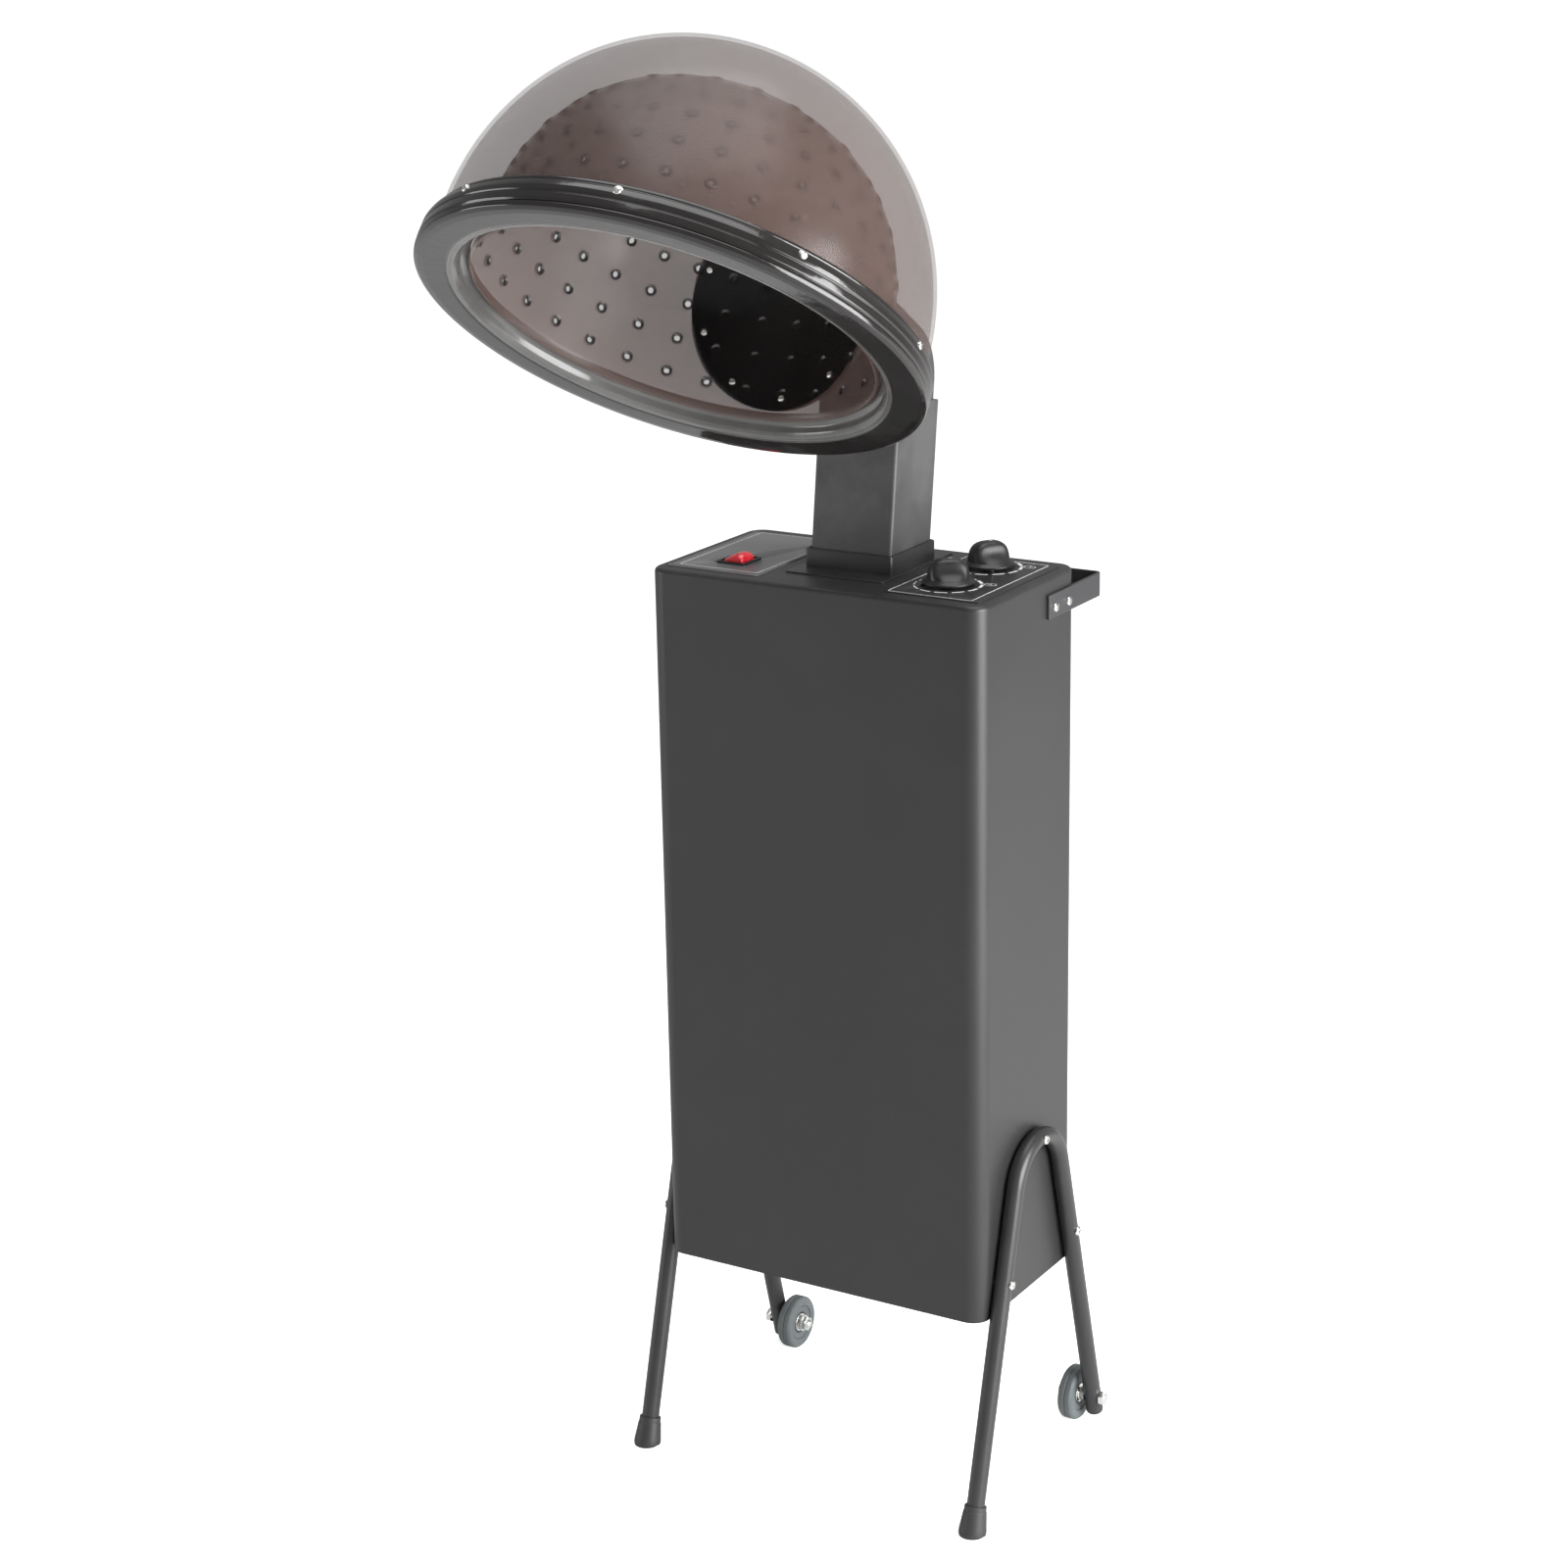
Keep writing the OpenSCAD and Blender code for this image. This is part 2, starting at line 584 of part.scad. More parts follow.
// Skirted knob with a tapered grip bar
module knob(y) {
    base = label_top + 2;
    body_h = 13;
    top_h = 21;
    translate([dial_x, y, base]) difference() {
        union() {
            cylinder(h = 2.2, r = knob_r);
            translate([0, 0, 2.2]) cylinder(h = 2.2, r1 = knob_r, r2 = knob_r - 2);
            translate([0, 0, 4.4]) cylinder(h = body_h - 4.4, r1 = knob_r - 4, r2 = knob_r - 7);
            intersection() {
                cylinder(h = top_h, r1 = knob_r - 3.5, r2 = knob_r - 7.5);
                translate([0, 0, 4]) linear_extrude(top_h) polygon([[-knob_r, -6], [-knob_r, 6], [knob_r, 7.5],
                    [knob_r, -7.5]]);
            }
        }
        translate([0, 0, -over]) cylinder(h = 11.4, r = 3 + run_gap);
        translate([0, 0, -over]) difference() {
            cylinder(h = 9, r = knob_r - 8);
            cylinder(h = 9, r = 6);
        }
    }
}
module temperature_control() { color([0.5, 0.5, 0.5]) machine() control_body(front_dial_y, 17, 26); }
module temperature_shaft() { color([0.7, 0.7, 0.7]) machine() control_shaft(front_dial_y); }
module temperature_knob() { color([0.12, 0.12, 0.12]) machine() knob(front_dial_y); }
module timer_control() { color([0.6, 0.6, 0.5]) machine() control_body(back_dial_y, 20, 34); }
module timer_shaft() { color([0.7, 0.7, 0.7]) machine() control_shaft(back_dial_y); }
module timer_knob() { color([0.12, 0.12, 0.12]) machine() knob(back_dial_y); }

// ---- Column and neck -----------------------------------------------------
module column_collar() {
    collar_d = 78;
    collar_y = column_y + 0.8;
    color([0.08, 0.08, 0.08]) machine() difference() {
        union() {
            translate([0, column_y, cab_top + seat_gap]) rounded_bar(flange_w, flange_d, 1.5, flange_t);
            translate([0, collar_y, cab_top + seat_gap]) rounded_bar(column_w + 6, collar_d, 1.5, collar_h);
        }
        translate([0, column_y, cab_top - over]) rounded_bar(neck_w + 5, neck_d + 6, 2, 5);
        translate([0, column_y + 1.4, cab_top + 1.4]) rounded_bar(column_w + 0.6, column_d + 3, 2, 30);
    }
}
module outer_column() {
    color([0.2, 0.2, 0.2]) on_column() translate([0, 0, column_start])
        rounded_tube(column_w, column_d, 3, column_wall, column_l - column_start);
}
// Thin pads that grip the neck and hold it at its height
module column_glides() {
    pad_h = 40;
    pad_t = slide_gap - 0.1;
    inner_w = column_w - 2 * column_wall;
    inner_d = column_d - 2 * column_wall;
    color([0.85, 0.85, 0.8]) on_column() translate([0, 0, column_l - pad_h - 2]) {
        both_sides() translate([inner_w / 2 - pad_t, -20, 0]) cube([pad_t, 40, pad_h]);
        for (face = [0, 1]) mirror([0, face, 0]) translate([-22, inner_d / 2 - pad_t, 0]) cube([44, pad_t, pad_h]);
    }
}

// Side outline of the neck's elbow: up the back, round the bend, over the drum and back to the front corner
function neck_outline(inset, tail) = concat(
    [[inset - neck_d / 2, tail], [neck_d / 2 - inset, tail]],
    arc(elbow_centre, elbow_r - inset, 0, top_angle, 14),
    arc(drum_centre, drum_r - inset, top_angle, under_angle, 24),
    [front_corner + [inset, -0.4 * inset]]);
module neck_side(inset, tail, w) {
    translate([-w / 2, 0, 0]) side_plane() linear_extrude(w) polygon(neck_outline(inset, tail));
}
module sliding_neck() {
    mouth_h = 2 * drum_r * sin(32);
    color([0.2, 0.2, 0.2]) on_column() difference() {
        neck_side(0, -neck_tail, neck_w);
        neck_side(neck_wall, -neck_tail - over, neck_w - 2 * neck_wall);
        translate([0, -pivot_forward - drum_r, pivot_up])
            cube([neck_w - 2 * neck_wall, 2 * drum_r, mouth_h], center = true);
        translate([0, -pivot_forward, pivot_up]) facing_right()
            cylinder(h = column_w, r = pivot_pin_r + run_gap, center = true);
    }
}
module at_pivot() { on_column() translate([0, -pivot_forward, pivot_up]) both_sides() facing_right() children(); }
module tilt_pivots() {
    inner_x = neck_w / 2 - neck_wall - 3;
    head_x = neck_w / 2 + 2 * washer_t + cheek_t + 0.4;
    color([0.75, 0.75, 0.75]) at_pivot() {
        translate([0, 0, inner_x]) cylinder(h = head_x - inner_x, r = pivot_pin_r);
        translate([0, 0, head_x]) cylinder(h = 3.5, r = 8);
    }
}
module tilt_washers() {
    color([0.9, 0.9, 0.85]) at_pivot() translate([0, 0, neck_w / 2 + seat_gap])
        washer(18, pivot_pin_r + run_gap, washer_t);
}

// ---- Hood ----------------------------------------------------------------
module dome_shell(r, rise, base, power, wall, skirt, steps) {
    rotate_extrude() polygon(concat([[r, skirt]], dome_edge(r, rise, base, power, steps),
        reversed(dome_edge(r - wall, rise - wall, base, power, steps)), [[r - wall, skirt]]));
}
module dome_solid(r, rise, base, power, steps) {
    rotate_extrude() polygon(concat([[0, 0], [r, 0]], dome_edge(r, rise, base, power, steps)));
}
module outer_solid(grow) { dome_solid(outer_r + grow, outer_rise + grow, outer_base, outer_power, outer_steps); }
module inner_solid(grow) { dome_solid(inner_r + grow, inner_rise + grow, inner_base, inner_power, inner_steps); }
module throat(length) {
    on_inlet() translate([-throat_w / 2, -throat_h / 2, pivot_out - length]) cube([throat_w, throat_h, length]);
}
// Screw axes square to the inner dome, each starting at its inside face
module deflector_screw_axes() {
    for (i = [0:8]) let (turn = 2 + 40 * i, up = lean_up(deflector_screw_lean, turn))
        rotate([0, 0, turn]) rotate([0, deflector_screw_lean, 0])
            translate([0, 0, dome_reach(inner_r - inner_wall, inner_rise - inner_wall, inner_power, up)])
                children();
}
// Screw axes through the outer dome, each starting at its outside face
module saddle_screw_axes() {
    centre_offset = outer_base - inner_base;
    for (turn = saddle_screw_turns) let (up = lean_up(saddle_screw_lean, turn),
        reach = dome_reach(outer_r, outer_rise, outer_power, up))
        rotate([0, 0, turn]) rotate([0, saddle_screw_lean, 0])
            translate([0, 0, centre_offset * sin(up) + sqrt(pow(reach, 2) - pow(centre_offset * cos(up), 2))])
                children();
}

module outer_dome() {
    color([0.55, 0.5, 0.48, 0.6]) difference() {
        on_hood() dome_shell(outer_r, outer_rise, outer_base, outer_power, dome_wall, 3, outer_steps);
        throat(80);
        on_inlet() saddle_screw_axes() cylinder(h = 30, r = 1.6, center = true);
        on_hood() rim_screw_axes() cylinder(h = 20, r = 1.6, center = true);
    }
}
module nozzle_axes() {
    on_hood() translate([0, 0, inner_base]) for (row = [0:len(nozzle_rows) - 1])
        for (i = [0:nozzle_rows[row]:nozzles_per_row - 1])
            rotate([0, 0, nozzle_start + i * 360 / nozzles_per_row])
                rotate([0, 90 - nozzle_first_rise - row * nozzle_row_step, 0]) children();
}
module inner_dome() {
    color([0.5, 0.44, 0.42, 0.6]) difference() {
        on_hood() dome_shell(inner_r, inner_rise, inner_base, inner_power, inner_wall, 6, inner_steps);
        nozzle_axes() translate([0, 0, inner_r - 30]) cylinder(h = 60, r = nozzle_d / 2);
        on_inlet() deflector_screw_axes() cylinder(h = 30, r = 1.6, center = true);
    }
}
module rim_screw_axes() {
    for (i = [0:rim_screw_count - 1]) rotate([0, 0, rim_screw_start + i * 360 / rim_screw_count])
        translate([outer_r, 0, rim_screw_z]) rotate([0, 90, 0]) children();
}
module rim_ring() {
    inner = outer_r + seat_gap;
    color([0.08, 0.08, 0.08]) on_hood() difference() {
        rotate_extrude() polygon(concat(
            [[inner, 2], [rim_r - 1, 2]],
            arc([rim_r - 3, 4.5], 3, -45, 0, 3),
            [[rim_r, 11]],
            arc([rim_r - 9, 13], 9, 0, 58, 6),
            [[rim_r - 5, 22.4], [rim_r - 5.4, 24.2], [inner + 2, 25], [inner, 24.4]]));
        rim_screw_axes() {
            cylinder(h = 40, r = 1.6);
            translate([0, 0, rim_screw_seat]) cylinder(h = 10, r = rim_screw_head_r + 0.3);
        }
    }
}
module rim_trim() {
    t = 2.4;
    lip_r = inner_r + 0.5;
    color([0.3, 0.3, 0.3]) on_hood() rotate_extrude() polygon([
        [rim_r - 1.2, 1.7], [rim_r, -0.4], [rim_r - 0.7, -2.6], [rim_r - 3, -4.3], [rim_r - 8, -5],
        [mouth_r + 8, -4.2], [mouth_r + 3, -3], [mouth_r, 0], [mouth_r - 1, 5], [lip_r + 1.5, 9], [lip_r, 14],
        [lip_r + t - 1, 14.6], [lip_r + 3, 10.4], [mouth_r + t - 1, 6.4], [mouth_r + t, 1], [mouth_r + 4.6, -1],
        [mouth_r + 9, -1.9], [rim_r - 8.4, -2.6], [rim_r - 5, -2], [rim_r - 4, 1.7]]);
}
module rim_screws() {
    color([0.85, 0.85, 0.85]) on_hood() rim_screw_axes()
        translate([0, 0, rim_screw_seat + seat_gap]) pan_screw(rim_screw_head_r, 2, 1.5, 14);
}
module air_deflector() {
    color([0.05, 0.05, 0.05]) difference() {
        intersection() {
            on_hood() difference() {
                inner_solid(deflector_gap + deflector_t);
                translate([0, 0, -over]) inner_solid(deflector_gap);
                inner_solid(deflector_gap);
            }
            on_inlet() translate([0, 0, 80]) cylinder(h = 140, r = deflector_r);
        }
        on_inlet() deflector_screw_axes() cylinder(h = 30, r = 1.6, center = true);
    }
}
module deflector_screws() {
    color([0.8, 0.8, 0.8]) on_inlet() deflector_screw_axes() translate([0, 0, -0.7])
        mirror([0, 0, 1]) pan_screw(2.8, 1.6, 1.5, 10);
}

// Conformal disc that follows the outer dome between two heights above it
module dome_disc(from, to, r) {
    intersection() {
        on_hood() difference() {
            outer_solid(to);
            translate([0, 0, -over]) outer_solid(from);
            outer_solid(from);
        }
        on_inlet() translate([0, 0, 120]) cylinder(h = 120, r = r);
    }
}
module saddle_gasket() {
    color([0.1, 0.1, 0.1]) difference() {
        dome_disc(0, gasket_t, flange_r);
        throat(80);
        on_inlet() saddle_screw_axes() cylinder(h = 30, r = 1.6, center = true);
    }
}
module hinge_saddle() {
    body_w = neck_w + 2 * (washer_t + cheek_t) + 0.8;
    lip_top = pivot_out - (drum_r + 0.4) * cos(lip_angle);
    cheek_gap = neck_w + 2 * washer_t + 0.8;
    color([0.12, 0.12, 0.12]) difference() {
        union() {
            dome_disc(gasket_t, gasket_t + saddle_flange_t, flange_r);
            difference() {
                on_inlet() {
                    translate([-body_w / 2, -drum_r, 170]) cube([body_w, 2 * drum_r, lip_top - 170]);
                    both_sides() translate([cheek_gap / 2, 0, pivot_out]) facing_right()
                        cylinder(h = cheek_t, r = 22);
                    both_sides() translate([cheek_gap / 2, -22, 170]) cube([cheek_t, 44, pivot_out - 170]);
                }
                on_hood() outer_solid(gasket_t);
            }
        }
        throat(80);
        on_inlet() translate([0, 0, pivot_out]) facing_right() {
            cylinder(h = cheek_gap, r = drum_r + 0.4, center = true);
            cylinder(h = 2 * body_w, r = pivot_pin_r + run_gap, center = true);
        }
        on_inlet() saddle_screw_axes() cylinder(h = 30, r = 1.6, center = true);
    }
}
module saddle_screws() {
    color([0.8, 0.8, 0.8]) on_inlet() saddle_screw_axes() translate([0, 0, gasket_t + saddle_flange_t + seat_gap])
        pan_screw(3, 1.8, 1.5, 12);
}

// ---- Air path and electrics ----------------------------------------------
module duct_riser() {
    color([0.7, 0.7, 0.72]) difference() {
        on_column() translate([0, 0, -110]) rounded_tube(riser_w, riser_d, 2, riser_wall, riser_top + 110);
        machine() translate([-100, -100, 0]) cube([200, 200, duct_top + 1.6]);
    }
}
module heater_duct() {
    wall = 1.5;
    color([0.7, 0.7, 0.72]) machine() translate([0, duct_y, duct_bottom]) difference() {
        union() {
            rounded_bar(riser_w + 4, riser_d + 4, 2, duct_top - duct_bottom);
            translate([0, 0, duct_top - duct_bottom]) rounded_bar(riser_w + 12, riser_d + 12, 2, wall);
        }
        translate([0, 0, -over]) rounded_bar(riser_w + 4 - 2 * wall, riser_d + 4 - 2 * wall, 1, 200);
    }
}
module heater_frame() {
    frame_h = 60;
    color([0.85, 0.8, 0.65]) machine() translate([0, duct_y, duct_bottom + 12]) {
        translate([-29, -0.6, 0]) cube([58, 1.2, frame_h]);
        translate([-0.6, -24, 0]) cube([1.2, 48, frame_h]);
    }
}
module heater_coil() {
    color([0.6, 0.55, 0.5]) machine() for (level = [0:5]) for (side = [0:3])
        translate([0, duct_y, duct_bottom + 18 + 9 * level]) rotate([0, 0, 45 + 90 * side])
            translate([12, 0, 0]) rotate_extrude() translate([6, 0]) circle(r = 0.8, $fn = 16);
}
module thermal_cutout() {
    color([0.8, 0.75, 0.6]) machine()
        translate([0, duct_y - riser_d / 2 - 2.1, duct_bottom + 70]) rotate([90, 0, 0]) union() {
            cylinder(h = 6, r = 8);
            for (x = [-4, 4]) translate([x - 0.5, -3, 6]) cube([1, 6, 7]);
        }
}
module blower_outline(inset) {
    difference() {
        union() {
            circle(scroll_r - inset);
            translate([-blower_x - riser_w / 2 - 2 + inset, 0])
                square([riser_w + 4 - 2 * inset, duct_bottom - blower_z - 0.2 + inset * 3]);
        }
        translate([-scroll_r - 20, duct_bottom - blower_z - 0.2 + inset * 3]) square([400, 100]);
    }
}
module blower_housing() {
    wall = 1.5;
    color([0.55, 0.57, 0.6]) machine() translate([blower_x, duct_y, blower_z]) rotate([90, 0, 0]) difference() {
        translate([0, 0, -blower_depth / 2]) linear_extrude(blower_depth) blower_outline(0);
        translate([0, 0, wall - blower_depth / 2]) linear_extrude(blower_depth - 2 * wall) blower_outline(wall);
        translate([0, 0, -blower_depth]) cylinder(h = blower_depth, r = 42);
        cylinder(h = blower_depth, r = 8);
    }
}
module blower_wheel() {
    blades = 24;
    depth = blower_depth - 16;
    color([0.3, 0.3, 0.32]) machine() translate([blower_x, duct_y, blower_z]) rotate([90, 0, 0])
        translate([0, 0, -depth / 2]) difference() {
            union() {
                translate([0, 0, depth - 2]) cylinder(h = 2, r = blower_wheel_r);
                translate([0, 0, depth - 14]) cylinder(h = 14, r = 9);
                washer(blower_wheel_r, blower_wheel_r - 9, 2);
                for (i = [0:blades - 1]) rotate([0, 0, i * 360 / blades])
                    translate([blower_wheel_r - 8.5, 0, 1]) rotate([0, 0, 35]) translate([0, -0.6, 0])
                        cube([7, 1.2, depth - 2]);
            }
            translate([0, 0, depth - 20]) cylinder(h = 30, r = 3 + run_gap);
        }
}
module blower_motor() {
    front = blower_depth / 2 + 0.2;
    color([0.35, 0.37, 0.4]) machine() translate([blower_x, duct_y, blower_z]) rotate([90, 0, 0]) {
        translate([0, 0, front]) cylinder(h = 3, r = motor_r + 6);
        translate([0, 0, front + 3]) cylinder(h = 38, r = motor_r);
        translate([0, 0, front + 41]) cylinder(h = 6, r = 14);
        translate([0, 0, 6]) cylinder(h = front - 4, r = 3);
    }
}
module blower_shelf() {
    shelf_w = cab_w - 2 * sheet - 1;
    shelf_d = 120;
    color([0.6, 0.6, 0.6]) machine() translate([0, duct_y, shelf_z]) difference() {
        union() {
            translate([-shelf_w / 2, -shelf_d / 2, 0]) cube([shelf_w, shelf_d, 1.5]);
            both_sides() translate([shelf_w / 2 - 1.5, -shelf_d / 2, 0]) cube([1.5, shelf_d, 20]);
        }
        for (x = [-60:40:100]) translate([x, 44, -over]) cylinder(h = 5, r = 2);
    }
}
module terminal_block() {
    ways = 4;
    color([0.9, 0.88, 0.8]) machine() translate([60, -30, shelf_z + 1.6]) difference() {
        cube([ways * 11, 20, 16]);
        for (i = [0:ways - 1]) translate([5.5 + i * 11, 10, 6]) cylinder(h = 20, r = 3);
    }
}
module cord_gland() {
    color([0.05, 0.05, 0.05]) machine() translate([-90, cab_d / 2, cab_lift + 60]) rotate([-90, 0, 0]) difference() {
        union() {
            translate([0, 0, -8]) cylinder(h = 16, r = 7.9);
            translate([0, 0, rear_panel_t + 0.2]) cylinder(h = 3, r = 11, $fn = 6);
            translate([0, 0, rear_panel_t + 3.2]) cylinder(h = 9, r1 = 9, r2 = 6.5);
            translate([0, 0, -6]) cylinder(h = 5.9, r = 11, $fn = 6);
        }
        translate([0, 0, -20]) cylinder(h = 60, r = 4.2);
    }
}

cabinet_shell();
rear_panel();
rear_panel_screws();
bottom_plate();
bottom_plate_screws();
left_leg();
right_leg();
leg_screws();
leg_screw_nuts();
left_foot();
right_foot();
tube_plugs();
axle_bolts();
axle_nuts();
axle_spacers();
left_hub();
left_tyre();
right_hub();
right_tyre();
push_handle();
handle_screws();
switch_label();
control_label();
switch_body();
rocker();
temperature_control();
temperature_shaft();
temperature_knob();
timer_control();
timer_shaft();
timer_knob();
column_collar();
outer_column();
column_glides();
sliding_neck();
tilt_pivots();
tilt_washers();
hinge_saddle();
saddle_gasket();
saddle_screws();
outer_dome();
inner_dome();
rim_ring();
rim_trim();
rim_screws();
air_deflector();
deflector_screws();
duct_riser();
heater_duct();
heater_frame();
heater_coil();
thermal_cutout();
blower_housing();
blower_wheel();
blower_motor();
blower_shelf();
terminal_block();
cord_gland();
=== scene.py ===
"""Hood hair dryer on a wheeled cabinet stand: the visual model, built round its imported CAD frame.

Shapes are worked out in millimetres, in the frame's own axes, and turned into metres as each
piece is made. +Z is up, the hood's mouth faces -Y and the push handle is at +Y.
"""

import json
import logging
from dataclasses import dataclass, field
from enum import Enum
from math import acos, asin, atan, atan2, ceil, cos, degrees, hypot, pi, radians, sin, sqrt, tan
from typing import Callable, Iterable, Sequence

import bmesh
import bpy
from mathutils import Matrix, Vector


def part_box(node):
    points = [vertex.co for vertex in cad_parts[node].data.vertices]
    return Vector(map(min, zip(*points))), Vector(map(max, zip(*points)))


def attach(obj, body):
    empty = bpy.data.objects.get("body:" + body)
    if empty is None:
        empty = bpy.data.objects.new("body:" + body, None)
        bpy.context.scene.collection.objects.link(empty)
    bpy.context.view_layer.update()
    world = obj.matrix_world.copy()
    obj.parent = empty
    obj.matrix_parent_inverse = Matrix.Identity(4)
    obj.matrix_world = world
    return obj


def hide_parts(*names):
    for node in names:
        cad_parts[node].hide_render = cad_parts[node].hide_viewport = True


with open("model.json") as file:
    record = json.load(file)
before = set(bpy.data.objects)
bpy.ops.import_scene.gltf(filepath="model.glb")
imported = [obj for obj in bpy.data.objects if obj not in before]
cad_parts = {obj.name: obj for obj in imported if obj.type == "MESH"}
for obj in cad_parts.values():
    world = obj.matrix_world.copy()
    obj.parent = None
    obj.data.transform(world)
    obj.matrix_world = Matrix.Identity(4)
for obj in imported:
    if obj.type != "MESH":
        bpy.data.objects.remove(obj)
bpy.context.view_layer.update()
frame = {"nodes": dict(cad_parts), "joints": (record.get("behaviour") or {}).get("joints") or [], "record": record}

LOG = logging.getLogger("hood_dryer")
MM = 0.001
FULL_TURN = 360.0
WHITE = (1.0, 1.0, 1.0, 1.0)
# Also the colour of the painted shade on the inner shell where the black dish lies behind it
BLACK = (0.004, 0.004, 0.004, 1.0)
DUST_COLOUR = (0.62, 0.6, 0.57, 1.0)
KNOBS = ("temperature_knob", "timer_knob")

Point = tuple[float, float]
Corner = tuple[float, float, float]
Colour = tuple[float, float, float]
Ring = list[Vector]


# ---- Outlines ----------------------------------------------------------------
def fillet(corners: Sequence[Corner], steps: int = 5, closed: bool = False) -> list[Point]:
    """Rounds the corners of an outline.

    Args:
        corners: Each corner's two coordinates and its radius, 0 for a sharp one.
        steps: Segments in each rounded corner.
        closed: Whether the last corner joins the first.

    Returns:
        The outline's points in order.
    """
    points: list[Point] = []
    count = len(corners)
    for i, (x, y, radius) in enumerate(corners):
        if radius <= 0 or (not closed and i in (0, count - 1)):
            points.append((x, y))
            continue
        corner = Vector((x, y))
        before = Vector(corners[i - 1][:2]) - corner
        after = Vector(corners[(i + 1) % count][:2]) - corner
        half = before.angle(after) / 2
        reach = min(radius / tan(half), 0.49 * before.length, 0.49 * after.length)
        radius = reach * tan(half)
        start = corner + before.normalized() * reach
        end = corner + after.normalized() * reach
        centre = corner + (before.normalized() + after.normalized()).normalized() * (radius / sin(half))
        first = start - centre
        sweep = first.angle_signed(end - centre)
        for k in range(steps + 1):
            turn = -sweep * k / steps
            points.append((
                centre.x + first.x * cos(turn) - first.y * sin(turn),
                centre.y + first.x * sin(turn) + first.y * cos(turn)))
    return points


def round_ring(radius: float, height: float, steps: int = 48) -> Ring:
    """A circle of that radius at that height."""
    return [Vector((radius * cos(2 * pi * i / steps), radius * sin(2 * pi * i / steps), height))
            for i in range(steps)]


def rect_ring(width: float, depth: float, radius: float, height: float, steps: int = 6) -> Ring:
    """A rectangle with rounded corners at that height."""
    x, y = width / 2, depth / 2
    corners = [(x, -y, radius), (x, y, radius), (-x, y, radius), (-x, -y, radius)]
    return [Vector((px, py, height)) for px, py in fillet(corners, steps, closed=True)]


def arc(centre: Point, radius: float, start: float, end: float, steps: int) -> list[Point]:
    """Points along an arc between two angles in degrees."""
    return [(centre[0] + radius * cos(radians(start + (end - start) * i / steps)),
             centre[1] + radius * sin(radians(start + (end - start) * i / steps)))
            for i in range(steps + 1)]


# ---- Placing -----------------------------------------------------------------
def move(x: float = 0.0, y: float = 0.0, z: float = 0.0) -> Matrix:
    """A shift in millimetres."""
    return Matrix.Translation((x, y, z))


def turn(angle: float, axis: str) -> Matrix:
    """A rotation in degrees about a named axis."""
    return Matrix.Rotation(radians(angle), 4, axis)


FACING_RIGHT = turn(90, "Y")
FACING_LEFT = turn(-90, "Y")
FLIPPED = turn(180, "X")
# Drawn X runs back along Y, drawn Y runs up along Z, and drawn Z runs to the right
SIDE_PLANE = Matrix(((0, 0, 1, 0), (1, 0, 0, 0), (0, 1, 0, 0), (0, 0, 0, 1)))


def box_mm(node: str) -> tuple[Vector, Vector]:
    """Lowest and highest corner of a CAD node, in millimetres."""
    low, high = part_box(node)
    return low / MM, high / MM


def middle_of(node: str) -> Vector:
    """Middle of a CAD node's box, in millimetres."""
    low, high = box_mm(node)
    return (low + high) / 2


@dataclass
class Layout:
    """Where each group of the machine stands, worked out from the frame's boxes and joints."""

    hood_tilt: float = 35.7
    pivot_out: float = 232.0
    column_y: float = 13.8
    dome_lift: float = 19.0
    low: Vector = field(init=False)
    high: Vector = field(init=False)
    lean: float = field(init=False)
    pivot: Vector = field(init=False)

    def __post_init__(self) -> None:
        """Reads the cabinet's box, the column's lean and the tilt hinge's place."""
        joints = {joint["name"]: joint for joint in frame["joints"]}
        self.low, self.high = box_mm("cabinet_shell")
        slide = joints["column_slide"]["axis"]
        self.lean = degrees(atan2(slide[1], slide[2]))
        self.pivot = Vector(joints["hood_tilt"]["pos_m"]) / MM

    @property
    def machine(self) -> Matrix:
        """The floor under the cabinet's centre."""
        return move(y=(self.low.y + self.high.y) / 2)

    @property
    def column(self) -> Matrix:
        """The column's foot on the cabinet's top, leaning back with the column."""
        return self.machine @ move(y=self.column_y, z=self.high.z) @ turn(-self.lean, "X")

    @property
    def hood(self) -> Matrix:
        """The centre of the hood's rim, with Z along the hood's own axis."""
        back = turn(-self.lean, "X") @ Vector((0, 1, 0))
        axis = turn(-self.hood_tilt, "X") @ Vector((0, 0, 1))
        centre = self.pivot - back * self.pivot_out - axis * self.dome_lift
        return Matrix.Translation(centre) @ turn(-self.hood_tilt, "X")

    @property
    def inlet(self) -> Matrix:
        """The dome's centre, with Z out of the back along the air inlet."""
        return self.hood @ move(z=self.dome_lift) @ turn(self.hood_tilt - self.lean - 90, "X")


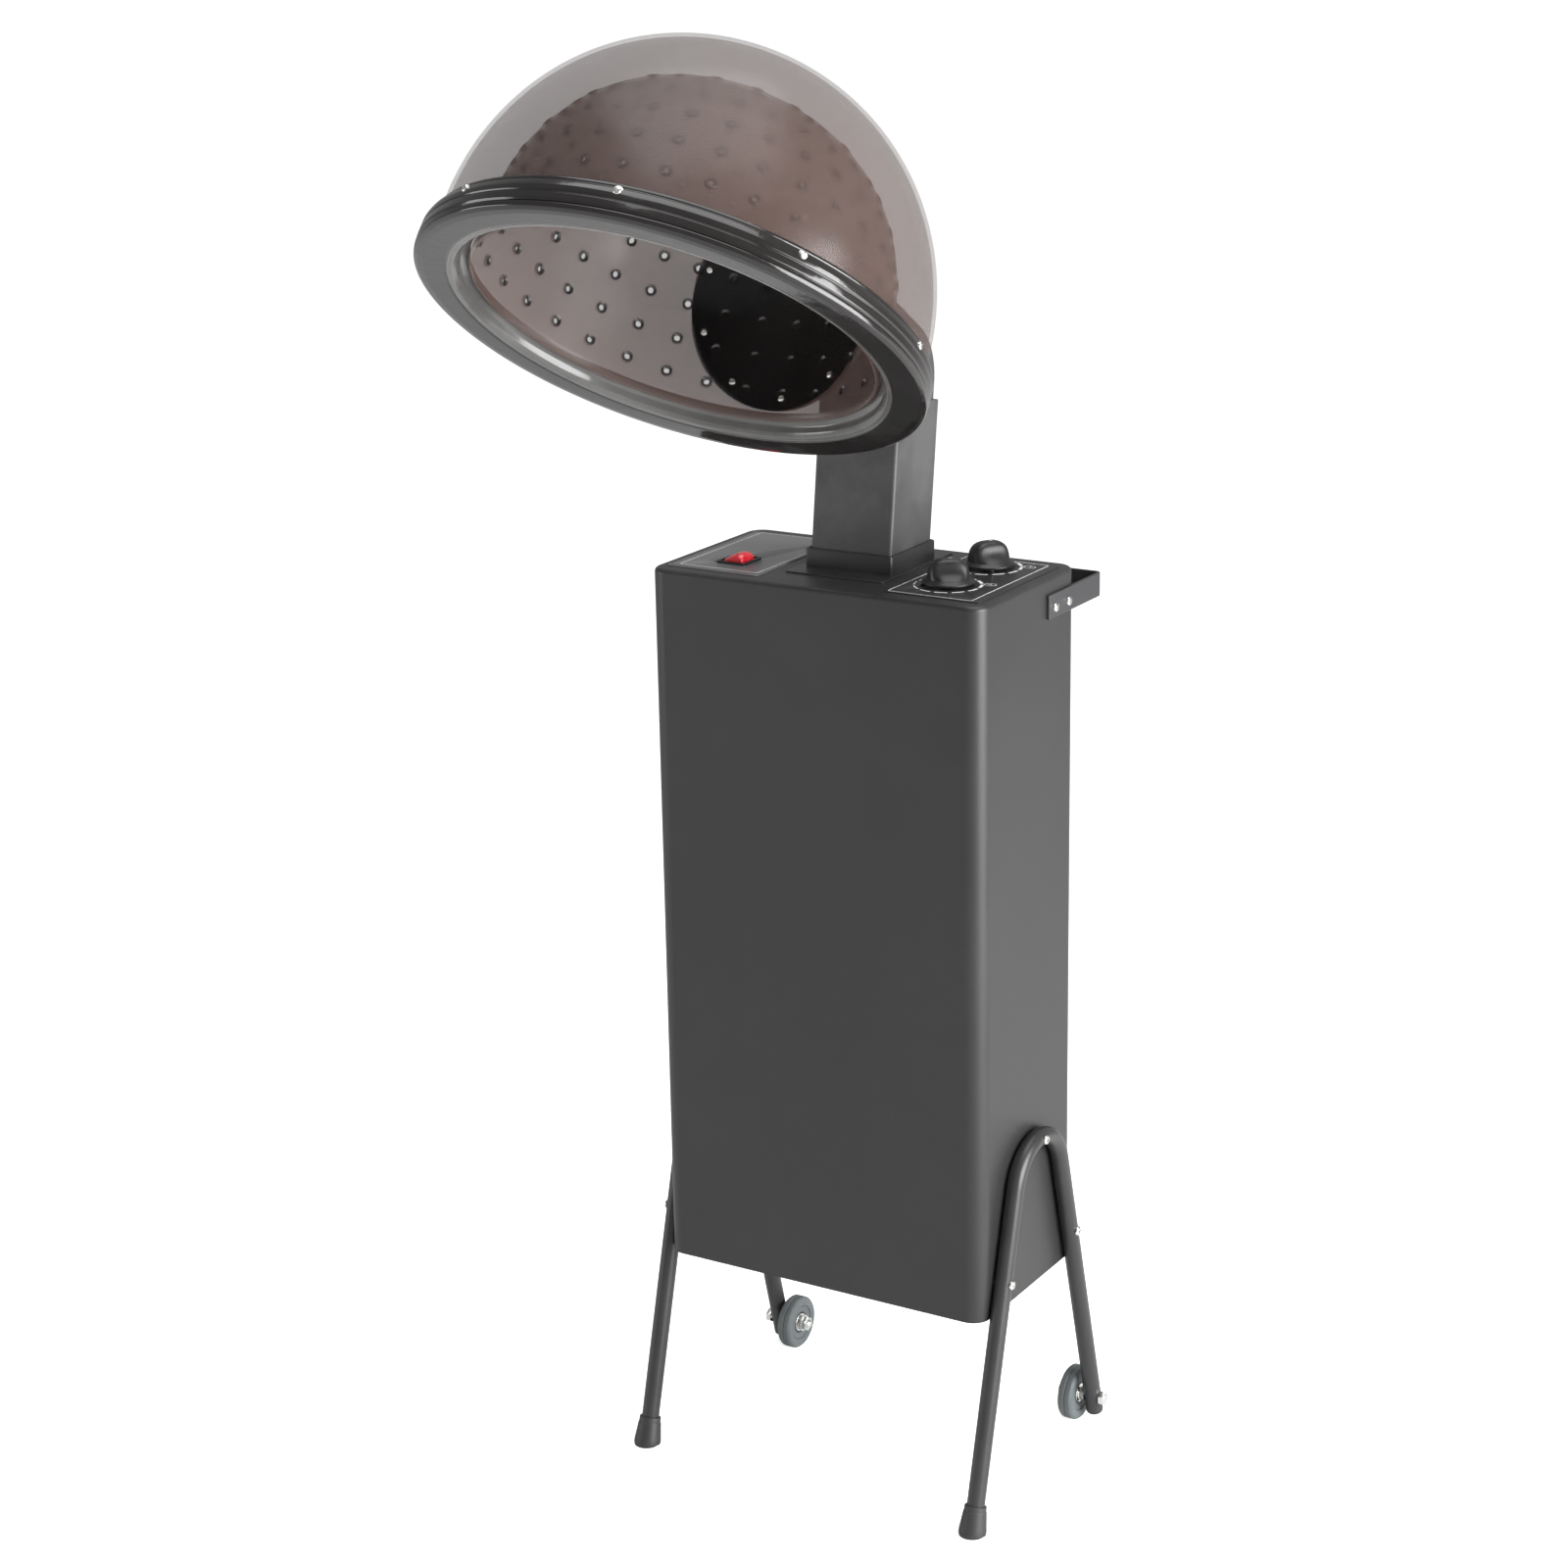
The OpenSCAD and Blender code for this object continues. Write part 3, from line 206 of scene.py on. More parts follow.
# ---- Meshes ------------------------------------------------------------------
@dataclass
class Shape:
    """Points and faces in millimetres, gathered before they become one mesh."""

    points: list[Vector] = field(default_factory=list)
    faces: list[tuple[int, ...]] = field(default_factory=list)
    finishes: list[int] = field(default_factory=list)

    def add(self, points: Iterable[Vector], faces: Iterable[Sequence[int]], place: Matrix,
            finish: int = 0) -> None:
        """Adds loose points and faces.

        Args:
            points: The points, before they are placed.
            faces: Each face's indices into those points.
            place: Where they go.
            finish: Index of the material that the faces take.
        """
        start = len(self.points)
        self.points += [place @ p for p in points]
        new = [tuple(start + i for i in face) for face in faces]
        self.faces += new
        self.finishes += [finish] * len(new)

    def skin(self, rings: Sequence[Ring], place: Matrix, caps: tuple[bool, bool] = (True, True),
             closed: bool = False, finish: int = 0) -> None:
        """Joins closed rings of equal length, one after another.

        Args:
            rings: The rings in order.
            place: Where the skin goes.
            caps: Whether the first and last rings are filled.
            closed: Whether the last ring also joins the first.
            finish: Index of the material that the faces take.
        """
        size = len(rings[0])
        faces: list[tuple[int, ...]] = []
        pairs = [(k, k + 1) for k in range(len(rings) - 1)]
        if closed:
            pairs.append((len(rings) - 1, 0))
        for a, b in pairs:
            for i in range(size):
                j = (i + 1) % size
                faces.append((a * size + i, a * size + j, b * size + j, b * size + i))
        if caps[0] and not closed:
            faces.append(tuple(range(size)))
        if caps[1] and not closed:
            last = (len(rings) - 1) * size
            faces.append(tuple(range(last, last + size)))
        self.add([p for ring in rings for p in ring], faces, place, finish)

    def lathe(self, profile: Sequence[Point], place: Matrix, steps: int = 64, closed: bool = False,
              finish: int = 0) -> None:
        """Turns an outline of (radius, height) points about the local Z axis."""
        rings = [round_ring(radius, height, steps) for radius, height in profile]
        ends = (profile[0][0] > 0, profile[-1][0] > 0)
        self.skin(rings, place, ends, closed, finish)

    def tube(self, path: Sequence[Point], radius: float, place: Matrix, steps: int = 32,
             finish: int = 0) -> None:
        """Sweeps a round bar along a flat path drawn in local X and Y."""
        rings = []
        for i, (x, y) in enumerate(path):
            before, after = path[max(i - 1, 0)], path[min(i + 1, len(path) - 1)]
            along = Vector((after[0] - before[0], after[1] - before[1], 0)).normalized()
            across = Vector((-along.y, along.x, 0))
            rings.append([
                Vector((x, y, 0)) + across * (radius * cos(2 * pi * k / steps))
                + Vector((0, 0, radius * sin(2 * pi * k / steps))) for k in range(steps)])
        self.skin(rings, place, finish=finish)

    def slab(self, outline: Sequence[Point], low: float, high: float, place: Matrix,
             finish: int = 0) -> None:
        """Raises a flat outline between two heights."""
        rings = [[Vector((x, y, z)) for x, y in outline] for z in (low, high)]
        self.skin(rings, place, finish=finish)


def cross_radius(angle: float, arm: float, half_width: float) -> float:
    """Distance from the middle of a cross to its edge at an angle in degrees."""
    across = abs(sin(radians(angle)))
    along = abs(cos(radians(angle)))
    return min(arm / max(along, across), half_width / max(min(along, across), 1e-6))


@dataclass(frozen=True)
class PanScrew:
    """Pan-head screw with a cross recess, its seat at the origin and its head towards +Z."""

    head_radius: float
    head_height: float
    shank_radius: float = 1.5
    shank_length: float = 6.0

    def build(self, shape: Shape, place: Matrix, finish: int = 0) -> None:
        """Adds the screw to a shape."""
        arm, slot = self.head_radius * 0.52, self.head_radius * 0.12
        edge = degrees(atan(slot / arm))
        quarter = [0, edge, (edge + 45) / 2, 45, (135 - edge) / 2, 90 - edge]
        angles = [90 * q + a for q in range(4) for a in quarter]
        domed = [(1.0, 0.0), (1.0, 0.3), (0.965, 0.55), (0.88, 0.78), (0.76, 0.93), (0.64, 1.0)]
        rings = [[Vector((self.head_radius * r * cos(radians(a)), self.head_radius * r * sin(radians(a)),
                          self.head_height * h)) for a in angles] for r, h in domed]
        for shrink, depth in ((1.0, 1.0), (0.8, 0.45)):
            rings.append([Vector((cross_radius(a, arm, slot) * shrink * cos(radians(a)),
                                  cross_radius(a, arm, slot) * shrink * sin(radians(a)),
                                  self.head_height * depth)) for a in angles])
        shape.skin(rings, place, finish=finish)
        shape.lathe([(self.shank_radius, 0.02), (self.shank_radius, -self.shank_length + 0.6),
                     (self.shank_radius * 0.6, -self.shank_length)], place, 16, finish=finish)


def hex_ring(flats: float, height: float) -> Ring:
    """A hexagon of that width across its flats, with each side split in three."""
    corner = flats / sqrt(3)
    corners = [Vector((corner * cos(radians(60 * i)), corner * sin(radians(60 * i)), height)) for i in range(7)]
    return [corners[i].lerp(corners[i + 1], k / 3) for i in range(6) for k in range(3)]


def pulled_in(ring: Ring, limit: float) -> Ring:
    """The same ring with no point further than the limit from its axis."""
    shares = [min(1.0, limit / hypot(p.x, p.y)) for p in ring]
    return [Vector((p.x * share, p.y * share, p.z)) for p, share in zip(ring, shares)]


def hex_nut(shape: Shape, flats: float, height: float, bore: float, place: Matrix, finish: int = 0) -> None:
    """Adds a nut with chamfered corners, or a bolt head where bore is 0."""
    corner = flats / sqrt(3)
    levels = ((0.0, 0.93), (0.12, 1.0), (0.88, 1.0), (1.0, 0.93))
    rings = [pulled_in(hex_ring(flats, height * rise), corner * reach) for rise, reach in levels]
    if bore > 0:
        rings += [pulled_in(hex_ring(flats, z), bore) for z in (height, 0)]
    shape.skin(rings, place, closed=bore > 0, finish=finish)


def make_mesh(name: str, shape: Shape, materials: Sequence[bpy.types.Material],
              smooth: float = 35.0) -> bpy.types.Object:
    """Turns a shape into an object in metres.

    Args:
        name: The object's name.
        shape: The gathered points and faces.
        materials: Materials in the order of the shape's finishes.
        smooth: Edges sharper than this angle in degrees stay crisp.

    Returns:
        The linked object.
    """
    mesh = bpy.data.meshes.new(name)
    mesh.from_pydata([p * MM for p in shape.points], [], shape.faces)
    for polygon, finish in zip(mesh.polygons, shape.finishes):
        polygon.material_index = finish
    work = bmesh.new()
    work.from_mesh(mesh)
    bmesh.ops.remove_doubles(work, verts=work.verts, dist=2e-6)
    bmesh.ops.recalc_face_normals(work, faces=work.faces)
    work.to_mesh(mesh)
    work.free()
    for material in materials:
        mesh.materials.append(material)
    mesh.shade_smooth()
    mesh.set_sharp_from_angle(angle=radians(smooth))
    result = bpy.data.objects.new(name, mesh)
    bpy.context.scene.collection.objects.link(result)
    return result


def soften(piece: bpy.types.Object, width: float, segments: int = 3) -> None:
    """Rounds a piece's sharp edges by a width in millimetres."""
    bevel = piece.modifiers.new("soft_edges", "BEVEL")
    bevel.width = width * MM
    bevel.segments = segments
    bevel.limit_method = "ANGLE"
    bevel.angle_limit = radians(40)
    bevel.harden_normals = True


def thicken(piece: bpy.types.Object, thickness: float, offset: float) -> None:
    """Gives a sheet its thickness in millimetres, towards its normals where offset is 1."""
    wall = piece.modifiers.new("wall", "SOLIDIFY")
    wall.thickness = thickness * MM
    wall.offset = offset
    wall.use_even_offset = False


def settle(piece: bpy.types.Object) -> None:
    """Puts a piece's modifiers into its mesh."""
    graph = bpy.context.evaluated_depsgraph_get()
    done = bpy.data.meshes.new_from_object(piece.evaluated_get(graph))
    piece.modifiers.clear()
    piece.data = done


def cut(piece: bpy.types.Object, cutter: Shape) -> None:
    """Takes a shape out of a piece."""
    tool = make_mesh("cutter", cutter, [])
    boolean = piece.modifiers.new("openings", "BOOLEAN")
    boolean.object = tool
    boolean.solver = "EXACT"
    settle(piece)
    bpy.data.objects.remove(tool)


# ---- Shader groups -----------------------------------------------------------
def socket(tree: bpy.types.ShaderNodeTree, name: str, kind: str, side: str,
           value: float | Sequence[float] | None = None) -> None:
    """Adds a named socket to a group.

    Args:
        tree: The group.
        name: The socket's name.
        kind: Float, Vector or Color.
        side: INPUT or OUTPUT.
        value: Its default, if it has one.
    """
    made = tree.interface.new_socket(name=name, in_out=side, socket_type="NodeSocket" + kind)
    if value is not None:
        made.default_value = value


class Group(Enum):
    """Effects that several finishes share."""

    GRAIN = "fine_grain"
    TONE = "worn_tone"
    DRIFT = "roughness_drift"
    SPANGLE = "zinc_spangle"
    DUST = "settled_dust"
    BACKED = "backed_area"


def new_group(kind: Group) -> tuple[bpy.types.ShaderNodeTree, bpy.types.Node, bpy.types.Node]:
    """Makes an empty group with its input and output nodes."""
    tree = bpy.data.node_groups.new(kind.value, "ShaderNodeTree")
    return tree, tree.nodes.new("NodeGroupInput"), tree.nodes.new("NodeGroupOutput")


def feed(tree: bpy.types.ShaderNodeTree, value: object, slot: bpy.types.NodeSocket) -> None:
    """Links a socket to an input, or sets the input to a plain value."""
    if isinstance(value, bpy.types.NodeSocket):
        tree.links.new(value, slot)
    else:
        slot.default_value = value


def math_node(tree: bpy.types.ShaderNodeTree, operation: str, *values: object,
              clamp: bool = False) -> bpy.types.NodeSocket:
    """Adds a Math node whose inputs are sockets or numbers, and returns its output."""
    node = tree.nodes.new("ShaderNodeMath")
    node.operation = operation
    node.use_clamp = clamp
    for slot, value in zip(node.inputs, values):
        feed(tree, value, slot)
    return node.outputs[0]


def vector_node(tree: bpy.types.ShaderNodeTree, operation: str,
                *values: bpy.types.NodeSocket) -> bpy.types.Node:
    """Adds a Vector Math node and returns it."""
    node = tree.nodes.new("ShaderNodeVectorMath")
    node.operation = operation
    for slot, value in zip(node.inputs, values):
        tree.links.new(value, slot)
    return node


def mix_node(tree: bpy.types.ShaderNodeTree, factor: object, first: object,
             second: object) -> bpy.types.NodeSocket:
    """Adds a colour mix whose inputs are sockets or values, and returns its output."""
    node = tree.nodes.new("ShaderNodeMix")
    node.data_type = "RGBA"
    slots = (node.inputs["Factor"], node.inputs[6], node.inputs[7])
    for slot, value in zip(slots, (factor, first, second)):
        feed(tree, value, slot)
    return node.outputs[2]


def noise_node(tree: bpy.types.ShaderNodeTree, vector: bpy.types.NodeSocket, scale: object,
               detail: float, rough: float = 0.5) -> bpy.types.NodeSocket:
    """Adds a noise texture whose scale is a socket or a number, and returns its value."""
    node = tree.nodes.new("ShaderNodeTexNoise")
    for name, value in (("Vector", vector), ("Scale", scale), ("Detail", detail), ("Roughness", rough)):
        feed(tree, value, node.inputs[name])
    return node.outputs["Fac"]


def contrast(tree: bpy.types.ShaderNodeTree, value: bpy.types.NodeSocket, low: float,
             high: float) -> bpy.types.NodeSocket:
    """Stretches a value so that low becomes 0 and high becomes 1, and returns the result."""
    node = tree.nodes.new("ShaderNodeMapRange")
    node.interpolation_type = "SMOOTHSTEP"
    tree.links.new(value, node.inputs["Value"])
    node.inputs["From Min"].default_value = low
    node.inputs["From Max"].default_value = high
    return node.outputs["Result"]


def grain_group() -> bpy.types.ShaderNodeTree:
    """Fine texture of a coat, moulding or brushed metal, with slow patches over it."""
    tree, inputs, outputs = new_group(Group.GRAIN)
    socket(tree, "Vector", "Vector", "INPUT")
    socket(tree, "Stretch", "Vector", "INPUT", (1.0, 1.0, 1.0))
    socket(tree, "Scale", "Float", "INPUT", 800.0)
    socket(tree, "Patch scale", "Float", "INPUT", 9.0)
    socket(tree, "Height", "Float", "OUTPUT")
    socket(tree, "Patch", "Float", "OUTPUT")
    stretched = vector_node(tree, "MULTIPLY", inputs.outputs["Vector"], inputs.outputs["Stretch"])
    fine = noise_node(tree, stretched.outputs[0], inputs.outputs["Scale"], 3.0, 0.6)
    coarse_scale = math_node(tree, "MULTIPLY", inputs.outputs["Scale"], 0.31)
    coarse = noise_node(tree, stretched.outputs[0], coarse_scale, 2.0)
    height = math_node(tree, "MULTIPLY_ADD", fine, 0.65, math_node(tree, "MULTIPLY", coarse, 0.35))
    patches = noise_node(tree, inputs.outputs["Vector"], inputs.outputs["Patch scale"], 4.0, 0.62)
    tree.links.new(height, outputs.inputs["Height"])
    tree.links.new(contrast(tree, patches, 0.36, 0.66), outputs.inputs["Patch"])
    return tree


def tone_group() -> bpy.types.ShaderNodeTree:
    """A base colour that goes over to a second one where a mask says."""
    tree, inputs, outputs = new_group(Group.TONE)
    socket(tree, "Base", "Color", "INPUT", (0.1, 0.1, 0.1, 1))
    socket(tree, "Second", "Color", "INPUT", (0.2, 0.2, 0.2, 1))
    socket(tree, "Mask", "Float", "INPUT", 0.0)
    socket(tree, "Speckle", "Float", "INPUT", 0.5)
    socket(tree, "Colour", "Color", "OUTPUT")
    worn = math_node(tree, "MULTIPLY", inputs.outputs["Mask"], 0.75)
    speckled = math_node(tree, "MULTIPLY_ADD", inputs.outputs["Speckle"], 0.5, worn)
    mixed = mix_node(tree, speckled, inputs.outputs["Base"], inputs.outputs["Second"])
    tree.links.new(mixed, outputs.inputs["Colour"])
    return tree


def drift_group() -> bpy.types.ShaderNodeTree:
    """Roughness that rises a little in handled patches and drops in polished ones."""
    tree, inputs, outputs = new_group(Group.DRIFT)
    socket(tree, "Roughness", "Float", "INPUT", 0.5)
    socket(tree, "Spread", "Float", "INPUT", 0.1)
    socket(tree, "Mask", "Float", "INPUT", 0.5)
    socket(tree, "Result", "Float", "OUTPUT")
    centred = math_node(tree, "SUBTRACT", inputs.outputs["Mask"], 0.5)
    result = math_node(tree, "MULTIPLY_ADD", centred, inputs.outputs["Spread"],
                       inputs.outputs["Roughness"], clamp=True)
    tree.links.new(result, outputs.inputs["Result"])
    return tree


def spangle_group() -> bpy.types.ShaderNodeTree:
    """Crystal facets of a zinc coat."""
    tree, inputs, outputs = new_group(Group.SPANGLE)
    socket(tree, "Vector", "Vector", "INPUT")
    socket(tree, "Scale", "Float", "INPUT", 120.0)
    socket(tree, "Facet", "Float", "OUTPUT")
    cells = tree.nodes.new("ShaderNodeTexVoronoi")
    tree.links.new(inputs.outputs["Vector"], cells.inputs["Vector"])
    tree.links.new(inputs.outputs["Scale"], cells.inputs["Scale"])
    parts = tree.nodes.new("ShaderNodeSeparateColor")
    tree.links.new(cells.outputs["Color"], parts.inputs[0])
    tree.links.new(parts.outputs[0], outputs.inputs["Facet"])
    return tree


def dust_group() -> bpy.types.ShaderNodeTree:
    """Thin dust that lies on faces that look up."""
    tree, inputs, outputs = new_group(Group.DUST)
    socket(tree, "Vector", "Vector", "INPUT")
    socket(tree, "Colour", "Color", "INPUT", (0.1, 0.1, 0.1, 1))
    socket(tree, "Amount", "Float", "INPUT", 0.05)
    socket(tree, "Result", "Color", "OUTPUT")
    surface = tree.nodes.new("ShaderNodeNewGeometry")
    axes = tree.nodes.new("ShaderNodeSeparateXYZ")
    tree.links.new(surface.outputs["Normal"], axes.inputs[0])
    up = contrast(tree, axes.outputs["Z"], 0.3, 1.0)
    cloud = contrast(tree, noise_node(tree, inputs.outputs["Vector"], 60.0, 6.0, 0.7), 0.35, 0.75)
    lies = math_node(tree, "MULTIPLY", up, cloud)
    share = math_node(tree, "MULTIPLY", lies, inputs.outputs["Amount"])
    dusted = mix_node(tree, share, inputs.outputs["Colour"], DUST_COLOUR)
    tree.links.new(dusted, outputs.inputs["Result"])
    return tree


def backed_group() -> bpy.types.ShaderNodeTree:
    """A round area about an axis, on the axis's own side of its start."""
    tree, inputs, outputs = new_group(Group.BACKED)
    socket(tree, "Vector", "Vector", "INPUT")
    socket(tree, "Start", "Vector", "INPUT")
    socket(tree, "Axis", "Vector", "INPUT", (0.0, 1.0, 0.0))
    socket(tree, "Radius", "Float", "INPUT", 0.1)
    socket(tree, "Mask", "Float", "OUTPUT")
    offset = vector_node(tree, "SUBTRACT", inputs.outputs["Vector"], inputs.outputs["Start"])
    cross = vector_node(tree, "CROSS_PRODUCT", offset.outputs[0], inputs.outputs["Axis"])
    away = vector_node(tree, "LENGTH", cross.outputs[0])
    along = vector_node(tree, "DOT_PRODUCT", offset.outputs[0], inputs.outputs["Axis"])
    near = math_node(tree, "LESS_THAN", away.outputs["Value"], inputs.outputs["Radius"])
    ahead = math_node(tree, "GREATER_THAN", along.outputs["Value"], 0.0)
    tree.links.new(math_node(tree, "MULTIPLY", near, ahead), outputs.inputs["Mask"])
    return tree


GROUP_MAKERS: dict[Group, Callable[[], bpy.types.ShaderNodeTree]] = {
    Group.GRAIN: grain_group, Group.TONE: tone_group, Group.DRIFT: drift_group,
    Group.SPANGLE: spangle_group, Group.DUST: dust_group, Group.BACKED: backed_group}
GROUPS: dict[Group, bpy.types.ShaderNodeTree] = {}


def place_group(tree: bpy.types.ShaderNodeTree, kind: Group,
                links: dict[str, bpy.types.NodeSocket] | None = None, **values: object) -> bpy.types.Node:
    """Places a shared group in a material.

    Args:
        tree: The material's node tree.
        kind: Which group.
        links: Sockets that feed the group's inputs, by input name.
        **values: Plain values, with underscores in place of spaces.

    Returns:
        The group's node.
    """
    if kind not in GROUPS:
        GROUPS[kind] = GROUP_MAKERS[kind]()
    node = tree.nodes.new("ShaderNodeGroup")
    node.node_tree = GROUPS[kind]
    for name, source in (links or {}).items():
        tree.links.new(source, node.inputs[name])
    for name, value in values.items():
        node.inputs[name.replace("_", " ")].default_value = value
    return node


# ---- Finishes ----------------------------------------------------------------
@dataclass(frozen=True)
class Finish:
    """A finish: two tones, the size and depth of its grain, and its gloss."""

    slot: str
    colour: Colour
    second: Colour
    roughness: float
    spread: float = 0.08
    metallic: float = 0.0
    grain_mm: float = 1.0
    depth: float = 0.1
    patch_scale: float = 9.0
    stretch: tuple[float, float, float] = (1.0, 1.0, 1.0)
    coat: float = 0.0
    coat_roughness: float = 0.05
    ior: float = 1.5
    alpha: float = 1.0
    dust: float = 0.0
    spangle: float = 0.0
    variant: str = ""

    def build(self) -> bpy.types.Material:
        """Makes the material, or returns it where it has been made."""
        name = "finish_" + self.slot + self.variant
        if name in bpy.data.materials:
            return bpy.data.materials[name]
        material = bpy.data.materials.new(name)
        material.use_nodes = True
        tree = material.node_tree
        shader = tree.nodes["Principled BSDF"]
        place = tree.nodes.new("ShaderNodeTexCoord").outputs["Object"]
        grain = place_group(tree, Group.GRAIN, {"Vector": place}, Stretch=self.stretch,
                            Scale=1 / (self.grain_mm * MM), Patch_scale=self.patch_scale)
        mask = grain.outputs["Patch"]
        if self.spangle > 0:
            facets = place_group(tree, Group.SPANGLE, {"Vector": place}, Scale=self.spangle)
            mask = facets.outputs["Facet"]
        tone = place_group(tree, Group.TONE, {"Mask": mask, "Speckle": grain.outputs["Height"]},
                           Base=(*self.colour, 1), Second=(*self.second, 1))
        colour = tone.outputs["Colour"]
        if self.dust > 0:
            dusted = place_group(tree, Group.DUST, {"Vector": place, "Colour": colour}, Amount=self.dust)
            colour = dusted.outputs["Result"]
        drift = place_group(tree, Group.DRIFT, {"Mask": mask}, Roughness=self.roughness,
                            Spread=self.spread)
        bump = tree.nodes.new("ShaderNodeBump")
        bump.inputs["Strength"].default_value = self.depth
        bump.inputs["Distance"].default_value = self.grain_mm * MM * 0.5
        tree.links.new(grain.outputs["Height"], bump.inputs["Height"])
        tree.links.new(colour, shader.inputs["Base Color"])
        tree.links.new(drift.outputs["Result"], shader.inputs["Roughness"])
        tree.links.new(bump.outputs["Normal"], shader.inputs["Normal"])
        for name, value in (("Metallic", self.metallic), ("Coat Weight", self.coat), ("IOR", self.ior),
                            ("Coat Roughness", self.coat_roughness), ("Alpha", self.alpha)):
            shader.inputs[name].default_value = value
        if self.alpha < 1:
            material.surface_render_method = "BLENDED"
        return material


class Finishes(Enum):
    """Every finish on the machine."""

    CABINET = Finish("cabinet_paint", (0.021, 0.021, 0.021), (0.026, 0.026, 0.026), 0.42, 0.05,
                     grain_mm=0.9, depth=0.10, patch_scale=5.0, dust=0.02)
    COLUMN = Finish("column_paint", (0.036, 0.036, 0.036), (0.075, 0.075, 0.075), 0.45, 0.06,
                    grain_mm=0.8, depth=0.45, patch_scale=14.0, dust=0.02)
    TUBE = Finish("tube_paint", (0.026, 0.026, 0.026), (0.034, 0.034, 0.034), 0.34, 0.06,
                  grain_mm=1.4, depth=0.06)
    STRAP = Finish("strap_paint", (0.03, 0.03, 0.032), (0.04, 0.04, 0.042), 0.4, 0.08,
                   grain_mm=1.0, depth=0.1)
    RUBBER = Finish("black_rubber", (0.022, 0.022, 0.023), (0.034, 0.034, 0.035), 0.5, 0.12,
                    grain_mm=0.7, depth=0.16, dust=0.05)
    TYRE = Finish("grey_tyre", (0.095, 0.11, 0.113), (0.125, 0.14, 0.144), 0.62, 0.1,
                  grain_mm=0.8, depth=0.2, patch_scale=40.0)
    HUB = Finish("hub_plastic", (0.008, 0.008, 0.009), (0.014, 0.014, 0.015), 0.4, 0.08,
                 grain_mm=0.6, depth=0.1)
    ZINC = Finish("bright_zinc", (0.74, 0.74, 0.72), (0.86, 0.86, 0.84), 0.2, 0.12, metallic=1.0,
                  grain_mm=0.5, depth=0.05, patch_scale=120.0, stretch=(1.0, 1.0, 0.25))
    LABEL_GREY = Finish("label_grey", (0.14, 0.14, 0.142), (0.165, 0.165, 0.168), 0.34, 0.05,
                        grain_mm=0.5, depth=0.08, patch_scale=20.0, dust=0.02)
    LABEL_BLACK = Finish("label_black", (0.02, 0.02, 0.021), (0.028, 0.028, 0.03), 0.4, 0.05,
                         grain_mm=0.5, depth=0.08, patch_scale=20.0)
    PRINT = Finish("label_black", (0.72, 0.72, 0.71), (0.8, 0.8, 0.79), 0.5, 0.05, grain_mm=0.3,
                   depth=0.04, variant="_print")
    DARK_PRINT = Finish("label_grey", (0.015, 0.015, 0.015), (0.022, 0.022, 0.022), 0.4, 0.05,
                        grain_mm=0.3, depth=0.04, variant="_print")
    SWITCH = Finish("switch_black", (0.012, 0.012, 0.012), (0.02, 0.02, 0.02), 0.28, 0.06,
                    grain_mm=0.6, depth=0.05)
    RED = Finish("red_lens", (0.60, 0.010, 0.022), (0.72, 0.03, 0.045), 0.16, 0.05, grain_mm=2.0,
                 depth=0.03, coat=0.6, patch_scale=90.0)
    KNOB = Finish("knob_plastic", (0.007, 0.007, 0.007), (0.012, 0.012, 0.012), 0.38, 0.1,
                  grain_mm=0.5, depth=0.1, patch_scale=60.0, dust=0.02)
    COLLAR = Finish("collar_plastic", (0.016, 0.016, 0.017), (0.024, 0.024, 0.025), 0.36, 0.08,
                    grain_mm=0.6, depth=0.1, dust=0.02)
    SADDLE = Finish("saddle_plastic", (0.018, 0.018, 0.019), (0.028, 0.028, 0.03), 0.42, 0.08,
                    grain_mm=0.6, depth=0.14)
    SMOKE_OUTER = Finish("smoke_outer", (0.105, 0.070, 0.060), (0.12, 0.08, 0.07), 0.24, 0.04,
                         grain_mm=50.0, depth=0.03, patch_scale=4.0, alpha=0.33)
    SMOKE_INNER = Finish("smoke_inner", (0.16, 0.105, 0.09), (0.18, 0.12, 0.104), 0.24, 0.04,
                         grain_mm=50.0, depth=0.03, patch_scale=4.0, alpha=0.5)
    # Darker, less clear copy of the inner shell's smoke for the nozzle cones: painted shade in the nozzle recesses
    NOZZLE_PAINTED_SHADE = Finish("smoke_inner", (0.010, 0.008, 0.008), (0.018, 0.015, 0.014), 0.16, 0.05,
                    grain_mm=1.0, depth=0.03, coat=0.8, alpha=0.8, variant="_nozzle_painted_shade")
    RIM = Finish("rim_black", (0.010, 0.009, 0.0085), (0.016, 0.014, 0.0135), 0.12, 0.06, grain_mm=25.0,
                 depth=0.05, patch_scale=12.0, coat=0.25, coat_roughness=0.03)
    # Lighter copy of the rim's gloss black: painted sheen that stands for light reflected in the rolled lip
    LIP_PAINTED_SHEEN = Finish("rim_black", (0.10, 0.098, 0.096), (0.14, 0.138, 0.135), 0.2, 0.08, grain_mm=25.0,
                 depth=0.04, patch_scale=12.0, coat=0.3, variant="_lip_painted_sheen")
    DEFLECTOR = Finish("deflector_black", (0.004, 0.004, 0.004), (0.008, 0.008, 0.008), 0.14, 0.06,
                       grain_mm=4.0, depth=0.03, coat=0.6)
    GALVANISED = Finish("galvanised", (0.45, 0.46, 0.47), (0.62, 0.63, 0.64), 0.36, 0.2,
                        metallic=0.9, grain_mm=1.0, depth=0.05, spangle=110.0)
    MOTOR = Finish("motor_paint", (0.10, 0.11, 0.12), (0.14, 0.15, 0.16), 0.45, 0.1, grain_mm=1.2,
                   depth=0.15)
    FAN = Finish("fan_metal", (0.5, 0.51, 0.52), (0.62, 0.63, 0.64), 0.35, 0.12, metallic=0.9,
                 grain_mm=0.8, depth=0.06, stretch=(1.0, 0.2, 1.0))
    MICA = Finish("mica", (0.46, 0.40, 0.30), (0.60, 0.53, 0.42), 0.4, 0.2, grain_mm=2.0, depth=0.1,
                  patch_scale=70.0)
